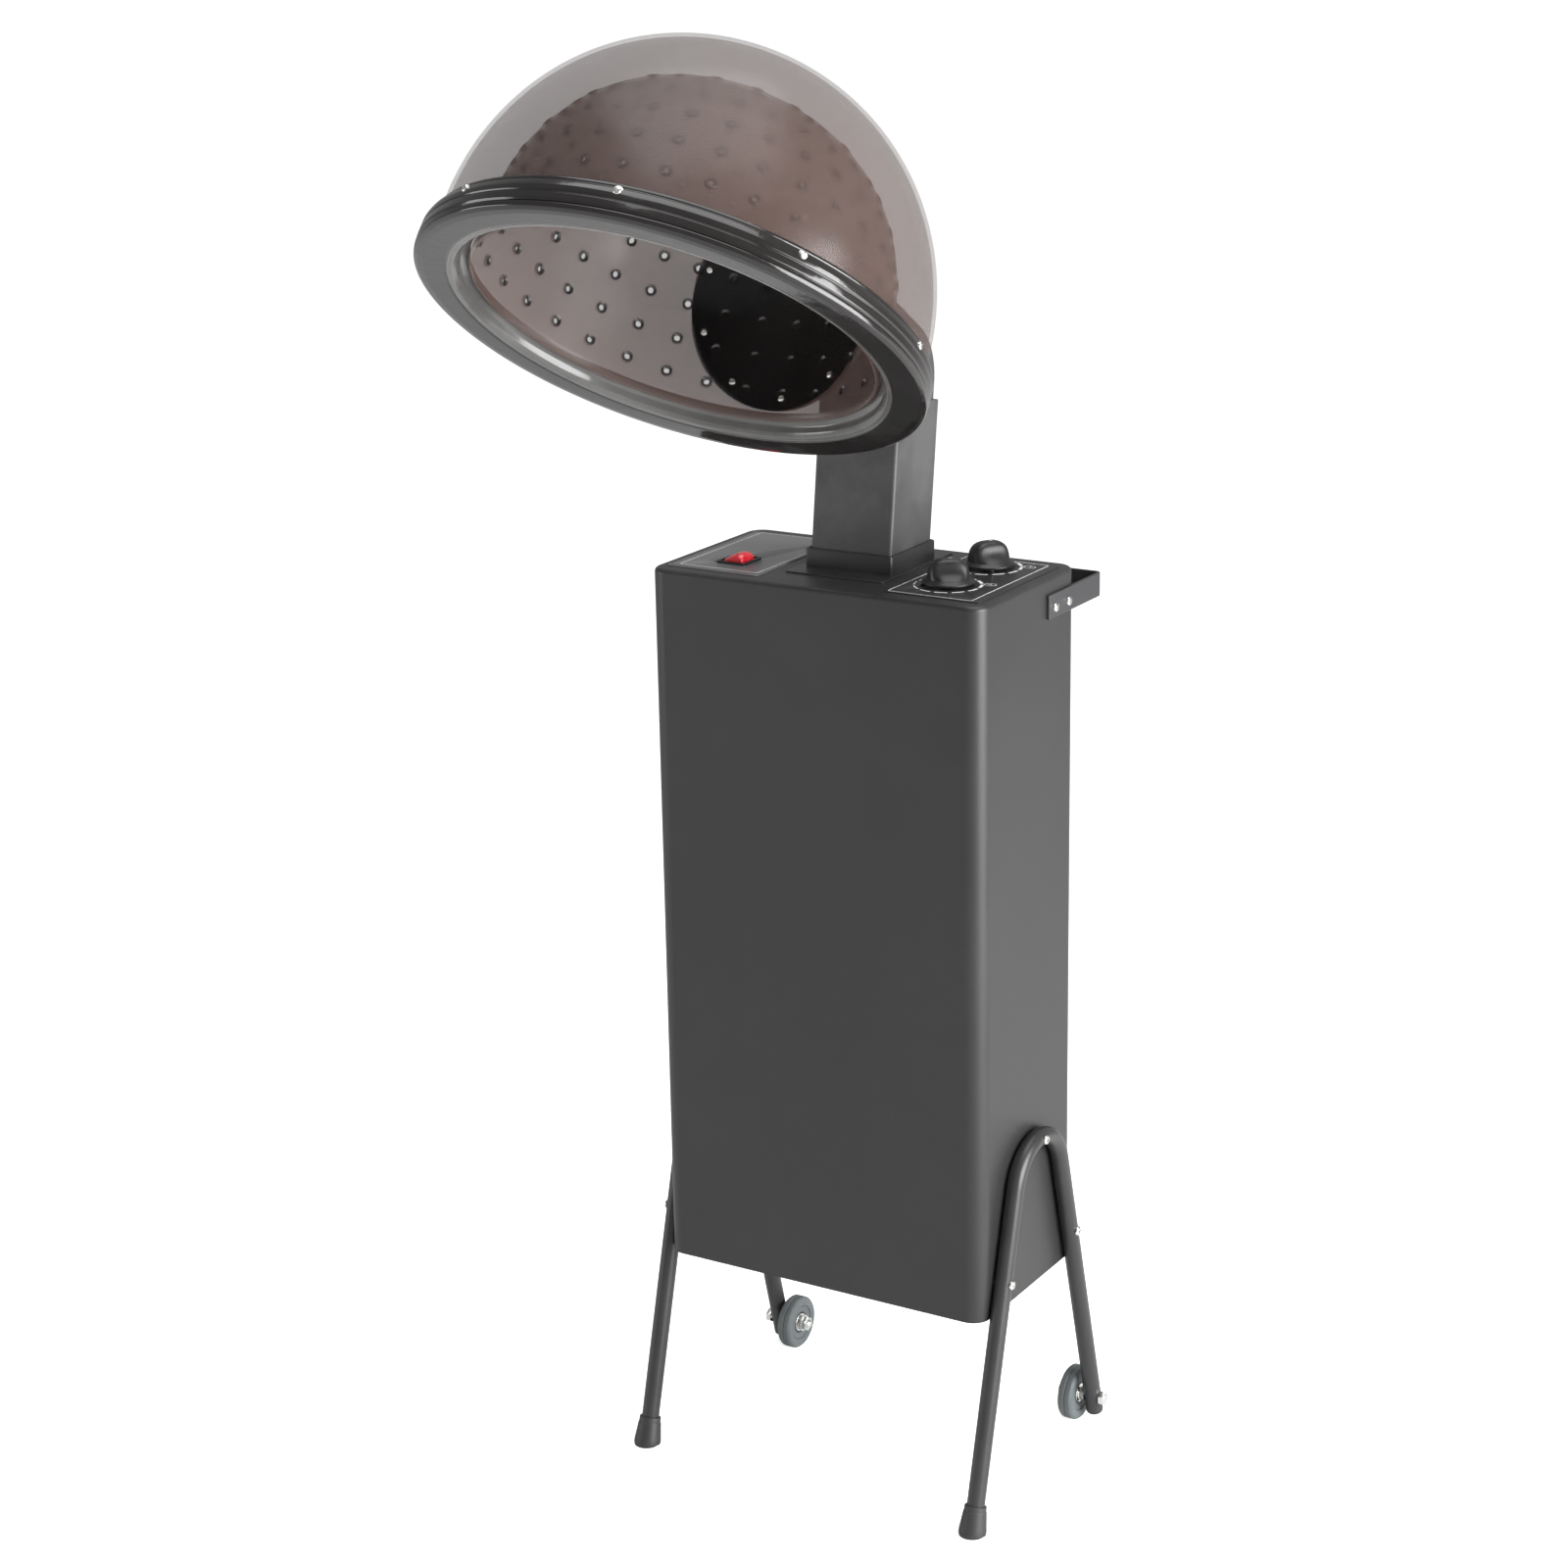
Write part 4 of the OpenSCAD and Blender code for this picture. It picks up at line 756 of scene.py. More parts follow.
    WIRE = Finish("heater_wire", (0.30, 0.26, 0.24), (0.42, 0.36, 0.33), 0.42, 0.15, metallic=0.9,
                  grain_mm=0.5, depth=0.08, patch_scale=120.0)
    NYLON = Finish("nylon", (0.70, 0.69, 0.64), (0.78, 0.77, 0.73), 0.45, 0.08, grain_mm=0.8,
                   depth=0.06)
    PHENOLIC = Finish("phenolic", (0.16, 0.10, 0.06), (0.22, 0.14, 0.09), 0.4, 0.1, grain_mm=0.9,
                      depth=0.08, patch_scale=50.0)

    @property
    def material(self) -> bpy.types.Material:
        """The finish as a material."""
        return self.value.build()


def finish_piece(piece: bpy.types.Object, body: str, replaces: Sequence[str]) -> None:
    """Fixes a piece to a CAD body and reports it.

    Args:
        piece: The finished object.
        body: The CAD body that it moves with.
        replaces: CAD nodes that it stands for.
    """
    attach(piece, body)
    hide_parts(*replaces)
    LOG.info("%s: %d faces on %s", piece.name, len(piece.data.polygons), body)


def add_piece(name: str, shape: Shape, body: str, replaces: Sequence[str], finishes: Sequence[Finishes],
              smooth: float = 35.0, soft: float = 0.0) -> bpy.types.Object:
    """Makes a piece from a shape and fixes it to a CAD body.

    Args:
        name: The piece's name.
        shape: The gathered points and faces.
        body: The CAD body that it moves with.
        replaces: CAD nodes that it stands for.
        finishes: Its finishes, the main one first.
        smooth: Edges sharper than this angle in degrees stay crisp.
        soft: Width in millimetres by which crisp edges are rounded.

    Returns:
        The finished object.
    """
    piece = make_mesh(name, shape, [finish.material for finish in finishes], smooth)
    if soft > 0:
        soften(piece, soft)
    finish_piece(piece, body, replaces)
    return piece


def control_holes(shape: Shape, nodes: Sequence[str], levels: Sequence[float]) -> None:
    """Adds the square hole of the switch and the round holes of the dials' shafts.

    Args:
        shape: The shape that is cut out.
        nodes: CAD nodes of the controls that need a hole.
        levels: Bottom and top of every hole.
    """
    for node in nodes:
        middle = middle_of(node)
        rings = [round_ring(6.0, z, 24) if node in KNOBS else rect_ring(25.5, 27, 1, z) for z in levels]
        shape.skin(rings, move(middle.x, middle.y))


# ---- Cabinet -----------------------------------------------------------------
@dataclass
class Cabinet:
    """Folded sheet cabinet with its push handle."""

    layout: Layout
    corner: float = 16.5
    top_edge: float = 4.0
    sheet: float = 1.5
    cut_height: float = 20.0
    column_cut_depth: float = 70.7
    rear_margin: float = 30.0
    rear_rise: float = 35.0
    handle_thickness: float = 3.0
    handle_bend: float = 6.0

    def build(self) -> None:
        """Builds the cabinet's pieces."""
        self.build_shell()
        self.build_handle()

    def build_shell(self) -> None:
        """Makes the shell with its rounded corners, its soft top edge and its openings."""
        low, high = self.layout.low, self.layout.high
        width, depth = high.x - low.x, high.y - low.y
        levels = [(low.z, 0.0), (low.z + 2, 0.0), (high.z - self.top_edge - 2, 0.0)]
        levels += [(high.z - self.top_edge * (1 - sin(radians(11.25 * i))),
                    self.top_edge * (1 - cos(radians(11.25 * i)))) for i in range(9)]
        levels += [(high.z, self.top_edge + 1.5)]
        shape = Shape()
        rings = [rect_ring(width - 2 * inset, depth - 2 * inset, self.corner - inset, z, 14)
                 for z, inset in levels]
        shape.skin(rings, self.layout.machine, (False, True))
        piece = make_mesh("cabinet_shell_skin", shape, [Finishes.CABINET.material], 50)
        thicken(piece, self.sheet, -1)
        settle(piece)
        cut(piece, self.openings())
        piece.data.shade_smooth()
        piece.data.set_sharp_from_angle(angle=radians(50))
        weigh = piece.modifiers.new("even_normals", "WEIGHTED_NORMAL")
        weigh.keep_sharp = True
        finish_piece(piece, "stand", ["cabinet_shell"])

    def openings(self) -> Shape:
        """Shapes that are cut out of the shell: the back, the column's hole and the controls."""
        shape = Shape()
        low, high = self.layout.low, self.layout.high
        machine = self.layout.machine
        top = high.z - self.cut_height / 2
        levels = (top, top + self.cut_height)
        rear_width = high.x - low.x - 2 * self.rear_margin
        shape.skin([rect_ring(rear_width, 2 * self.cut_height, 3, z)
                    for z in (low.z + self.rear_rise, high.z - self.rear_rise)],
                   machine @ move(y=(high.y - low.y) / 2))
        neck_low, neck_high = box_mm("sliding_neck")
        shape.skin([rect_ring(neck_high.x - neck_low.x + 5, self.column_cut_depth, 2, z) for z in levels],
                   machine @ move(y=self.layout.column_y))
        control_holes(shape, ["switch_body", *KNOBS], levels)
        return shape

    def build_handle(self) -> None:
        """Makes the bent strap behind the cabinet and its screws."""
        low, high = box_mm("push_handle")
        t, bend = self.handle_thickness, self.handle_bend
        x, y = high.x, high.y
        corners = [(x, low.y, 0.8), (x, y, bend), (-x, y, bend), (-x, low.y, 0.8), (t - x, low.y, 0.8),
                   (t - x, y - t, bend - t), (x - t, y - t, bend - t), (x - t, low.y, 0.8)]
        shape = Shape()
        shape.slab(fillet(corners, 6, closed=True), low.z, high.z, Matrix())
        add_piece("push_handle_strap", shape, "stand", ["push_handle"], [Finishes.STRAP], 30, 0.5)
        screws = Shape()
        screw_low, screw_high = box_mm("handle_screws")
        middle_z = (screw_low.z + screw_high.z) / 2
        head = PanScrew(4.0, 2.2, 2.0, 10.0)
        for side, facing in ((1, FACING_RIGHT), (-1, FACING_LEFT)):
            for y in (screw_low.y + head.head_radius, screw_high.y - head.head_radius):
                spin = turn(20 + 31 * side + y, "Z")
                head.build(screws, move(side * (x + 0.15), y, middle_z) @ facing @ spin)
        add_piece("handle_pan_screws", screws, "stand", ["handle_screws"], [Finishes.ZINC], 30)


# ---- Legs and wheels ---------------------------------------------------------
@dataclass
class Legs:
    """Two hairpin legs of round tube with their feet, end plugs and screws."""

    layout: Layout
    tube_radius: float = 8.0
    lean: float = 15.2
    bend: float = 44.5
    top: float = 329.0
    centre_y: float = 2.0
    front_end: float = 6.0
    rear_end: float = 12.0
    lower_screw_z: float = 216.0

    @property
    def leg_x(self) -> float:
        """Distance of each leg's centreline from the middle."""
        return middle_of("right_leg").x

    @property
    def bend_z(self) -> float:
        """Height of the bend's centre."""
        return self.top - self.bend

    def run_y(self, z: float) -> float:
        """Distance of a leg's centreline from its middle at a height."""
        end_y = self.bend * cos(radians(self.lean))
        end_z = self.bend_z + self.bend * sin(radians(self.lean))
        return end_y + (end_z - z) * tan(radians(self.lean))

    def side(self, side: int) -> Matrix:
        """The side plane through one leg, with its drawn X at the leg's middle."""
        return self.layout.machine @ move(side * self.leg_x, self.centre_y) @ SIDE_PLANE

    def build(self) -> None:
        """Builds the legs' pieces."""
        for side, name in ((-1, "left"), (1, "right")):
            path = [(-self.run_y(z), z) for z in (self.front_end, 60.0, 120.0, 180.0, 240.0)]
            path += arc((0, self.bend_z), self.bend, 180 - self.lean, self.lean, 40)
            path += [(self.run_y(z), z) for z in (240.0, 180.0, 120.0, 60.0, self.rear_end)]
            shape = Shape()
            shape.tube(path, self.tube_radius, self.side(side), 40)
            add_piece(name + "_leg_tube", shape, "stand", [name + "_leg"], [Finishes.TUBE], 40)
            self.build_foot(side, name)
        self.build_plugs()
        self.build_screws()

    def build_foot(self, side: int, name: str) -> None:
        """Makes the moulded foot at the front of one leg, flat where it meets the floor."""
        profile = fillet([
            (8.05, 16.0, 0), (8.05, 25.4, 0.3), (9.9, 25.4, 0.9), (10.0, 20.6, 0.6), (10.5, 19.6, 0.8),
            (12.3, 3.5, 1.5), (12.4, 0.4, 1.2), (11.4, -4.0, 0.5), (0.0, -4.0, 0)], 4)
        shape = Shape()
        place = self.side(side) @ move(-self.run_y(0), 0) @ turn(-self.lean, "Z") @ turn(-90, "X")
        shape.lathe(profile, place, 48)
        for point in shape.points:
            point.z = max(point.z, 0.0)
        add_piece(name + "_foot_moulding", shape, "stand", [name + "_foot"], [Finishes.RUBBER], 40)

    def build_plugs(self) -> None:
        """Makes the rounded plugs that close the back ends of the tubes."""
        profile = fillet([(7.0, -3.0, 0), (7.0, -0.2, 0), (8.05, -0.2, 0.2), (8.0, 2.6, 2.5),
                          (4.0, 5.2, 5.0), (0.0, 5.6, 0)], 6)
        shape = Shape()
        for side in (-1, 1):
            place = (self.side(side) @ move(self.run_y(self.rear_end), self.rear_end)
                     @ turn(self.lean, "Z") @ turn(90, "X"))
            shape.lathe(profile, place, 40)
        add_piece("tube_end_plugs", shape, "stand", ["tube_plugs"], [Finishes.RUBBER], 50)

    def build_screws(self) -> None:
        """Makes the screws that hold the legs to the cabinet."""
        shape = Shape()
        head = PanScrew(4.3, 2.4, 2.5, 18.0)
        spread = self.run_y(self.lower_screw_z)
        places = [(0.0, self.top), (-spread, self.lower_screw_z), (spread, self.lower_screw_z)]
        for side, facing in ((1, FACING_RIGHT), (-1, FACING_LEFT)):
            for number, (y, z) in enumerate(places):
                place = (self.layout.machine
                         @ move(side * (self.leg_x + self.tube_radius - 0.2), self.centre_y + y, z)
                         @ facing @ turn(15 + 37 * number, "Z"))
                head.build(shape, place)
        add_piece("leg_pan_screws", shape, "stand", ["leg_screws"], [Finishes.ZINC], 30)


@dataclass
class Wheels:
    """Two fixed wheels with grooved grey tyres, on bolts through the legs."""

    layout: Layout
    radius: float = 25.5
    width: float = 14.0
    disc_radius: float = 16.5
    ring_radius: float = 10.6
    cap_radius: float = 9.2

    def build(self) -> None:
        """Builds both wheels and their axles."""
        bolts, nuts = Shape(), Shape()
        for side, name in ((-1, "left"), (1, "right")):
            place = (Matrix.Translation(middle_of(name + "_tyre"))
                     @ (FACING_RIGHT if side > 0 else FACING_LEFT))
            self.build_wheel(name, place)
            self.build_axle(place, bolts, nuts)
        add_piece("axle_hex_bolts", bolts, "stand", ["axle_bolts"], [Finishes.ZINC], 30)
        add_piece("axle_lock_nuts", nuts, "stand", ["axle_nuts"], [Finishes.ZINC], 30)

    def build_wheel(self, name: str, place: Matrix) -> None:
        """Makes one wheel: a grooved tyre with its disc, and a black ring with a bright cap."""
        half, r, disc = self.width / 2, self.radius, self.disc_radius
        side_outline = [(self.ring_radius, half - 2.0, 0.3), (disc - 1.5, half - 1.5, 0.3),
                        (disc - 0.4, half - 0.9, 0.2), (disc, half - 1.8, 0.1), (disc + 0.5, half - 0.4, 0.3),
                        (r - 1.9, half, 0.6), (r - 0.1, half - 2.0, 1.6), (r, 0.9, 0.3), (r - 0.9, 0.0, 0)]
        upper = fillet(side_outline, 4)
        lower = [(x, -y) for x, y in reversed(upper[:-1])]
        tyre = Shape()
        tyre.lathe(upper + lower, place, 72, closed=True)
        add_piece(name + "_wheel_tyre", tyre, name + "_wheel", [name + "_tyre"], [Finishes.TYRE], 45)
        hub = Shape()
        ring = fillet([(self.cap_radius - 1, half - 4.0, 0), (self.ring_radius + 0.05, half - 3.4, 0),
                       (self.ring_radius + 0.05, half - 2.0, 0.3), (self.cap_radius, half - 2.0, 0.3),
                       (self.cap_radius, half - 3.0, 0.2), (4.1, half - 3.0, 0)], 3)
        cap = fillet([(4.06, half - 3.1, 0), (self.cap_radius - 0.1, half - 3.1, 0.2),
                      (self.cap_radius - 0.3, half - 1.6, 0.5), (6.6, half - 1.0, 0.8), (6.2, half - 0.4, 0.4),
                      (5.6, half, 0.3), (4.06, half, 0)], 4)
        for facing in (Matrix(), FLIPPED):
            hub.lathe(ring, place @ facing, 48, closed=True)
            hub.lathe(cap, place @ facing, 48, closed=True, finish=1)
        add_piece(name + "_wheel_hub", hub, name + "_wheel", [name + "_hub"], [Finishes.HUB, Finishes.ZINC], 40)

    def build_axle(self, place: Matrix, bolts: Shape, nuts: Shape) -> None:
        """Adds one wheel's bolt, with its head outside the leg, and its nut inside the wheel."""
        bolt_end, leg_side = box_mm("axle_bolts")[1].x, box_mm("right_leg")[1].x
        half = self.width / 2
        head = leg_side + 0.1 - middle_of("right_tyre").x
        hex_nut(bolts, 12.0, bolt_end - leg_side - 0.6, 0.0, place @ move(z=head))
        bolts.lathe(fillet([(0.0, head + 5.2, 0), (3.6, head + 5.2, 0.8), (4.6, head + 4.4, 0)], 4),
                    place, 24)
        bolts.lathe(fillet([(0.0, head + 0.5, 0), (4.0, head + 0.5, 0), (4.0, -half - 8.6, 0.8),
                            (3.0, -half - 9.6, 0.4), (0.0, -half - 9.8, 0)], 3), place, 32)
        for thread in range(4):
            z = -half - 8.2 + 0.9 * thread
            bolts.lathe([(3.9, z - 0.3), (4.18, z), (3.9, z + 0.3)], place, 32)
        hex_nut(nuts, 12.4, 5.0, 4.05, place @ move(z=-half - 7.2))
        nuts.lathe([(4.05, -half - 2.1), (8.0, -half - 2.1), (8.0, -half - 0.95), (4.05, -half - 0.95)],
                   place, 32, closed=True)


# ---- Controls ----------------------------------------------------------------
@dataclass
class Controls:
    """The two printed plates on top with the rocker switch and the two dials."""

    layout: Layout
    line: float = 0.9
    ink: float = 0.06
    dial_ring: float = 29.6
    knob_turns: tuple[float, float] = (38.0, 58.0)

    @property
    def top(self) -> float:
        """Height of the plates' upper face."""
        return box_mm("switch_label")[1].z

    def build(self) -> None:
        """Builds the plates, their print, the switch and the knobs."""
        self.build_plates()
        self.build_print()
        self.build_switch()
        for node, angle in zip(KNOBS, self.knob_turns):
            self.build_knob(node, node.replace("knob", "dial"), angle)

    def build_plates(self) -> None:
        """Makes the two thin plates, each with its openings."""
        for node, finish in (("switch_label", Finishes.LABEL_GREY), ("control_label", Finishes.LABEL_BLACK)):
            low, high = box_mm(node)
            middle = (low + high) / 2
            shape = Shape()
            size = high - low
            rings = [rect_ring(size.x - 2 * inset, size.y - 2 * inset, 3 - inset, z)
                     for z, inset in ((low.z + 0.02, 0), (high.z - 0.25, 0), (high.z, 0.25))]
            shape.skin(rings, move(middle.x, middle.y))
            piece = make_mesh(node + "_plate", shape, [finish.material], 30)
            holes = Shape()
            control_holes(holes, ["switch_body"] if node == "switch_label" else KNOBS,
                          (low.z - 5, high.z + 5))
            cut(piece, holes)
            finish_piece(piece, "stand", [node])

    def frame_line(self, shape: Shape, low: Point, high: Point, radius: float, width: float) -> None:
        """Adds a printed line round a rectangle."""
        middle = move((low[0] + high[0]) / 2, (low[1] + high[1]) / 2, self.top)
        size = (high[0] - low[0], high[1] - low[1])
        rings = [rect_ring(size[0] - 2 * inset, size[1] - 2 * inset, max(radius - inset, 0.2), z)
                 for inset, z in ((0, 0.0), (0, self.ink), (width, self.ink), (width, 0.0))]
        shape.skin(rings, middle, closed=True)

    def arc_mark(self, shape: Shape, centre: Vector, inner: float, outer: float, start: float,
                 end: float) -> None:
        """Adds a printed mark that follows a dial between two angles."""
        steps = max(2, ceil(abs(end - start) / 4))
        outline = arc((0, 0), outer, start, end, steps) + arc((0, 0), inner, end, start, steps)
        shape.slab(outline, 0, self.ink, move(centre.x, centre.y, self.top))

    def build_print(self) -> None:
        """Makes the white border lines, the dial marks and the plain round symbols."""
        shape = Shape()
        shift = self.layout.machine.translation.y
        self.frame_line(shape, (64.4, shift - 71.0), (144.4, shift + 71.4), 3, self.line)
        self.frame_line(shape, (-144.6, shift - 66.0), (-65.4, shift + 71.0), 3, self.line * 0.8)
        for knob in KNOBS:
            dial = middle_of(knob)
            for number in range(11):
                start = 150 + 30 * number
                width = 0.9 + 0.24 * number
                self.arc_mark(shape, dial, self.dial_ring - width, self.dial_ring, start + 4, start + 26)
            symbol = Vector((dial.x + 31.5, dial.y + 15.5, 0))
            oval = [[Vector((symbol.x + r * 1.25 * cos(2 * pi * i / 32), symbol.y + r * sin(2 * pi * i / 32),
                             self.top + z)) for i in range(32)]
                    for r, z in ((4.4, 0.0), (4.4, self.ink), (3.9, self.ink), (3.9, 0.0))]
            shape.skin(oval, Matrix(), closed=True)
            for angle in (90, 210, 330) if knob == "temperature_knob" else (90, 0):
                shape.slab([(-0.25, 0.2), (0.25, 0.2), (0.25, 2.7), (-0.25, 2.7)], 0, self.ink,
                           move(symbol.x, symbol.y, self.top) @ turn(angle - 90, "Z"))
        add_piece("plate_print", shape, "stand", [], [Finishes.PRINT])
        dark = Shape()
        self.frame_line(dark, (-151.5, shift - 70.5), (-63.5, shift + 72.0), 2, 1.0)
        add_piece("plate_dark_print", dark, "stand", [], [Finishes.DARK_PRINT])

    def build_switch(self) -> None:
        """Makes the switch's frame and its domed red rocker."""
        low, high = box_mm("switch_body")
        middle = (low + high) / 2
        size = high - low
        place = move(middle.x, middle.y, self.top)
        shape = Shape()
        levels = [(0.0, 0.02), (0.0, 1.3), (0.5, 1.8), (1.9, 1.8), (2.1, 1.5), (2.1, -9.5)]
        rings = [rect_ring(size.x - 2 * inset, size.y - 2 * inset, max(2 - inset, 0.4), z)
                 for inset, z in levels]
        shape.skin(rings, place, (False, True))
        shape.skin([rect_ring(size.x - 3.6, size.y - 3.6, 1, z) for z in (0.02, low.z - self.top)], place,
                   (False, True))
        add_piece("switch_frame", shape, "stand", ["switch_body"], [Finishes.SWITCH], 30)
        rocker_low, rocker_high = box_mm("rocker")
        half_x = (rocker_high.x - rocker_low.x) / 2
        half_y = 10.5
        crown = fillet([(-half_x, -5, 0), (-half_x, 2.2, 1.2), (-5, 5.4, 4), (1, 7.8, 5), (5.6, 8.1, 4),
                        (half_x - 0.4, 5.6, 3), (half_x, 2.0, 2), (half_x, -5, 0)], 6)
        rings = []
        for k in range(17):
            y = -1 + k / 8
            drop = 1 - 0.42 * abs(y) ** 3.2
            pinch = 1 - 0.10 * abs(y) ** 5
            rings.append([Vector((x * pinch, y * half_y, z * drop if z > 0 else z)) for x, z in crown])
        lens = Shape()
        lens.skin(rings, place)
        add_piece("switch_red_rocker", lens, "switch_rocker", ["rocker"], [Finishes.RED], 50)

    def build_knob(self, node: str, body: str, angle: float) -> None:
        """Makes one knob: a skirt, a scooped body and a grip bar across it."""
        low, high = box_mm(node)
        middle = (low + high) / 2
        place = move(middle.x, middle.y, low.z) @ turn(angle, "Z")
        r = (high.x - low.x) / 2
        shape = Shape()
        skirt = fillet([(0.0, 0.4, 0), (r - 1.4, 0.4, 0.2), (r - 1.2, 0.0, 0.2), (r, 0.0, 0.4), (r, 1.8, 0.7),
                        (r - 1.6, 2.9, 1.2), (r - 3.4, 4.3, 1.0), (0.0, 4.6, 0)], 4)
        shape.lathe(skirt, place, 96)
        steps = 96
        levels = [(4.2, 18.4, 40.0), (5.0, 18.2, 18.4), (6.2, 18.0, 15.4), (7.8, 17.8, 13.0), (9.8, 17.5, 11.2),
                  (12.0, 17.0, 9.9), (14.2, 16.2, 9.0), (16.2, 15.0, 8.3), (18.0, 13.2, 7.5),
                  (19.5, 10.8, 6.4), (20.5, 7.8, 5.0), (21.0, 4.0, 3.0)]
        rings = []
        for z, radius, bar in levels:
            ring = []
            for i in range(steps):
                a = 2 * pi * i / steps
                across = max(abs(sin(a)), 1e-4)
                reach = (radius ** -8 + (bar / across) ** -8) ** (-1 / 8)
                ring.append(Vector((reach * cos(a), reach * sin(a), z)))
            rings.append(ring)
        shape.skin(rings, place)
        shape.slab([(0.4, -0.5), (3.6, -0.5), (3.6, 0.5), (0.4, 0.5)], 20.9, 21.03, place, 1)
        add_piece(node + "_grip", shape, body, [node], [Finishes.KNOB, Finishes.PRINT], 32)


# ---- Column ------------------------------------------------------------------
@dataclass
class Column:
    """The fixed column with its collar, and the neck that slides in it."""

    layout: Layout
    width: float = 79.0
    depth: float = 71.5
    length: float = 143.0
    start: float = 6.2
    wall: float = 2.6
    slide_gap: float = 0.8
    elbow: float = 52.0
    elbow_start: float = 158.0
    pivot_forward: float = 93.8
    pivot_up: float = 218.3
    drum: float = 30.0
    corner_up: float = 178.0
    tail: float = 60.0

    def build(self) -> None:
        """Builds the column's pieces."""
        self.build_collar()
        self.build_outer()
        self.build_neck()
        self.build_pivots()

    def build_collar(self) -> None:
        """Makes the collar and its flange at the column's foot."""
        low, high = box_mm("column_collar")
        z0 = low.z
        shape = Shape()
        base = self.layout.machine @ move(y=self.layout.column_y)
        outer = [(0.0, 96.0, 126.0), (0.8, 96.0, 126.0), (1.2, 95.2, 125.2)]
        rings = [rect_ring(w, d, 2.2, z0 + z) for z, w, d in outer]
        rings += [rect_ring(76.0, 72.0, 2, z0 + z) for z in (1.2, 0.0)]
        shape.skin(rings, base, closed=True)
        upper = high.z
        profile = [(85.0, 78.0, z0 + 1.0), (85.0, 78.0, upper - 1.2), (84.3, 77.3, upper - 0.35),
                   (82.8, 75.8, upper), (81.0, 75.0, upper), (80.2, 74.7, upper - 0.6), (79.8, 74.5, z0 + 1.6)]
        shape.skin([rect_ring(w, d, 2.5, z) for w, d, z in profile], self.layout.machine
                   @ move(y=self.layout.column_y + 1.0), closed=True)
        add_piece("column_foot_collar", shape, "stand", ["column_collar"], [Finishes.COLLAR], 30)

    def build_outer(self) -> None:
        """Makes the fixed outer tube."""
        w, d, t = self.width, self.depth, self.wall
        profile = [(0.0, self.start), (0.0, self.length - 0.6), (0.6, self.length), (t - 0.4, self.length),
                   (t, self.length - 0.4), (t, self.start)]
        shape = Shape()
        shape.skin([rect_ring(w - 2 * inset, d - 2 * inset, max(3.2 - inset, 0.6), z, 8)
                    for inset, z in profile], self.layout.column, closed=True)
        piece = add_piece("outer_column_tube", shape, "stand", ["outer_column"], [Finishes.COLUMN], 30)
        piece.modifiers.new("even_normals", "WEIGHTED_NORMAL").keep_sharp = True

    def neck_outline(self, depth: float) -> list[Point]:
        """Side outline of the neck: up the back, round the bend, over the drum and down to the front."""
        back = depth / 2
        drum = Vector((-self.pivot_forward, self.pivot_up))
        bend = Vector((back - self.elbow, self.elbow_start))
        gap = (drum - bend).length
        facing = 180 - degrees(atan2(drum.y - bend.y, bend.x - drum.x))
        top = facing - degrees(acos((self.elbow - self.drum) / gap))
        front = Vector((-back, self.corner_up))
        away = (front - drum).length
        under = 360 - degrees(atan2(drum.y - front.y, front.x - drum.x)) - degrees(acos(self.drum / away))
        outline = [(-back, -self.tail), (back, -self.tail)]
        outline += arc(tuple(bend), self.elbow, 0, top, 28)
        outline += arc(tuple(drum), self.drum, top, under, 40)
        outline += fillet([(outline[-1][0], outline[-1][1], 0), (front.x, front.y, 10), (-back, -self.tail, 0)],
                          8)[1:-1]
        return outline

    def build_neck(self) -> None:
        """Makes the sliding neck with its soft edges."""
        low, high = box_mm("sliding_neck")
        depth = self.depth - 2 * self.wall - 2 * self.slide_gap
        shape = Shape()
        shape.slab(self.neck_outline(depth), low.x, high.x, self.layout.column @ SIDE_PLANE)
        piece = add_piece("sliding_neck_elbow", shape, "neck", ["sliding_neck"], [Finishes.COLUMN], 30, 2.4)
        piece.modifiers.new("even_normals", "WEIGHTED_NORMAL").keep_sharp = True

    def build_pivots(self) -> None:
        """Makes the headed pins that the hood tilts on."""
        end = box_mm("tilt_pivots")[1].x
        shape = Shape()
        pivot = Matrix.Translation(self.layout.pivot)
        head = fillet([(0.0, end, 0), (5.4, end, 2.0), (8.0, end - 1.6, 1.0), (8.0, end - 3.5, 0.2),
                       (4.0, end - 3.5, 0), (4.0, 30.0, 0.5), (0.0, 30.0, 0)], 5)
        for facing in (FACING_RIGHT, FACING_LEFT):
            shape.lathe(head, pivot @ facing, 40)
        add_piece("tilt_pivot_pins", shape, "neck", ["tilt_pivots"], [Finishes.ZINC], 35)


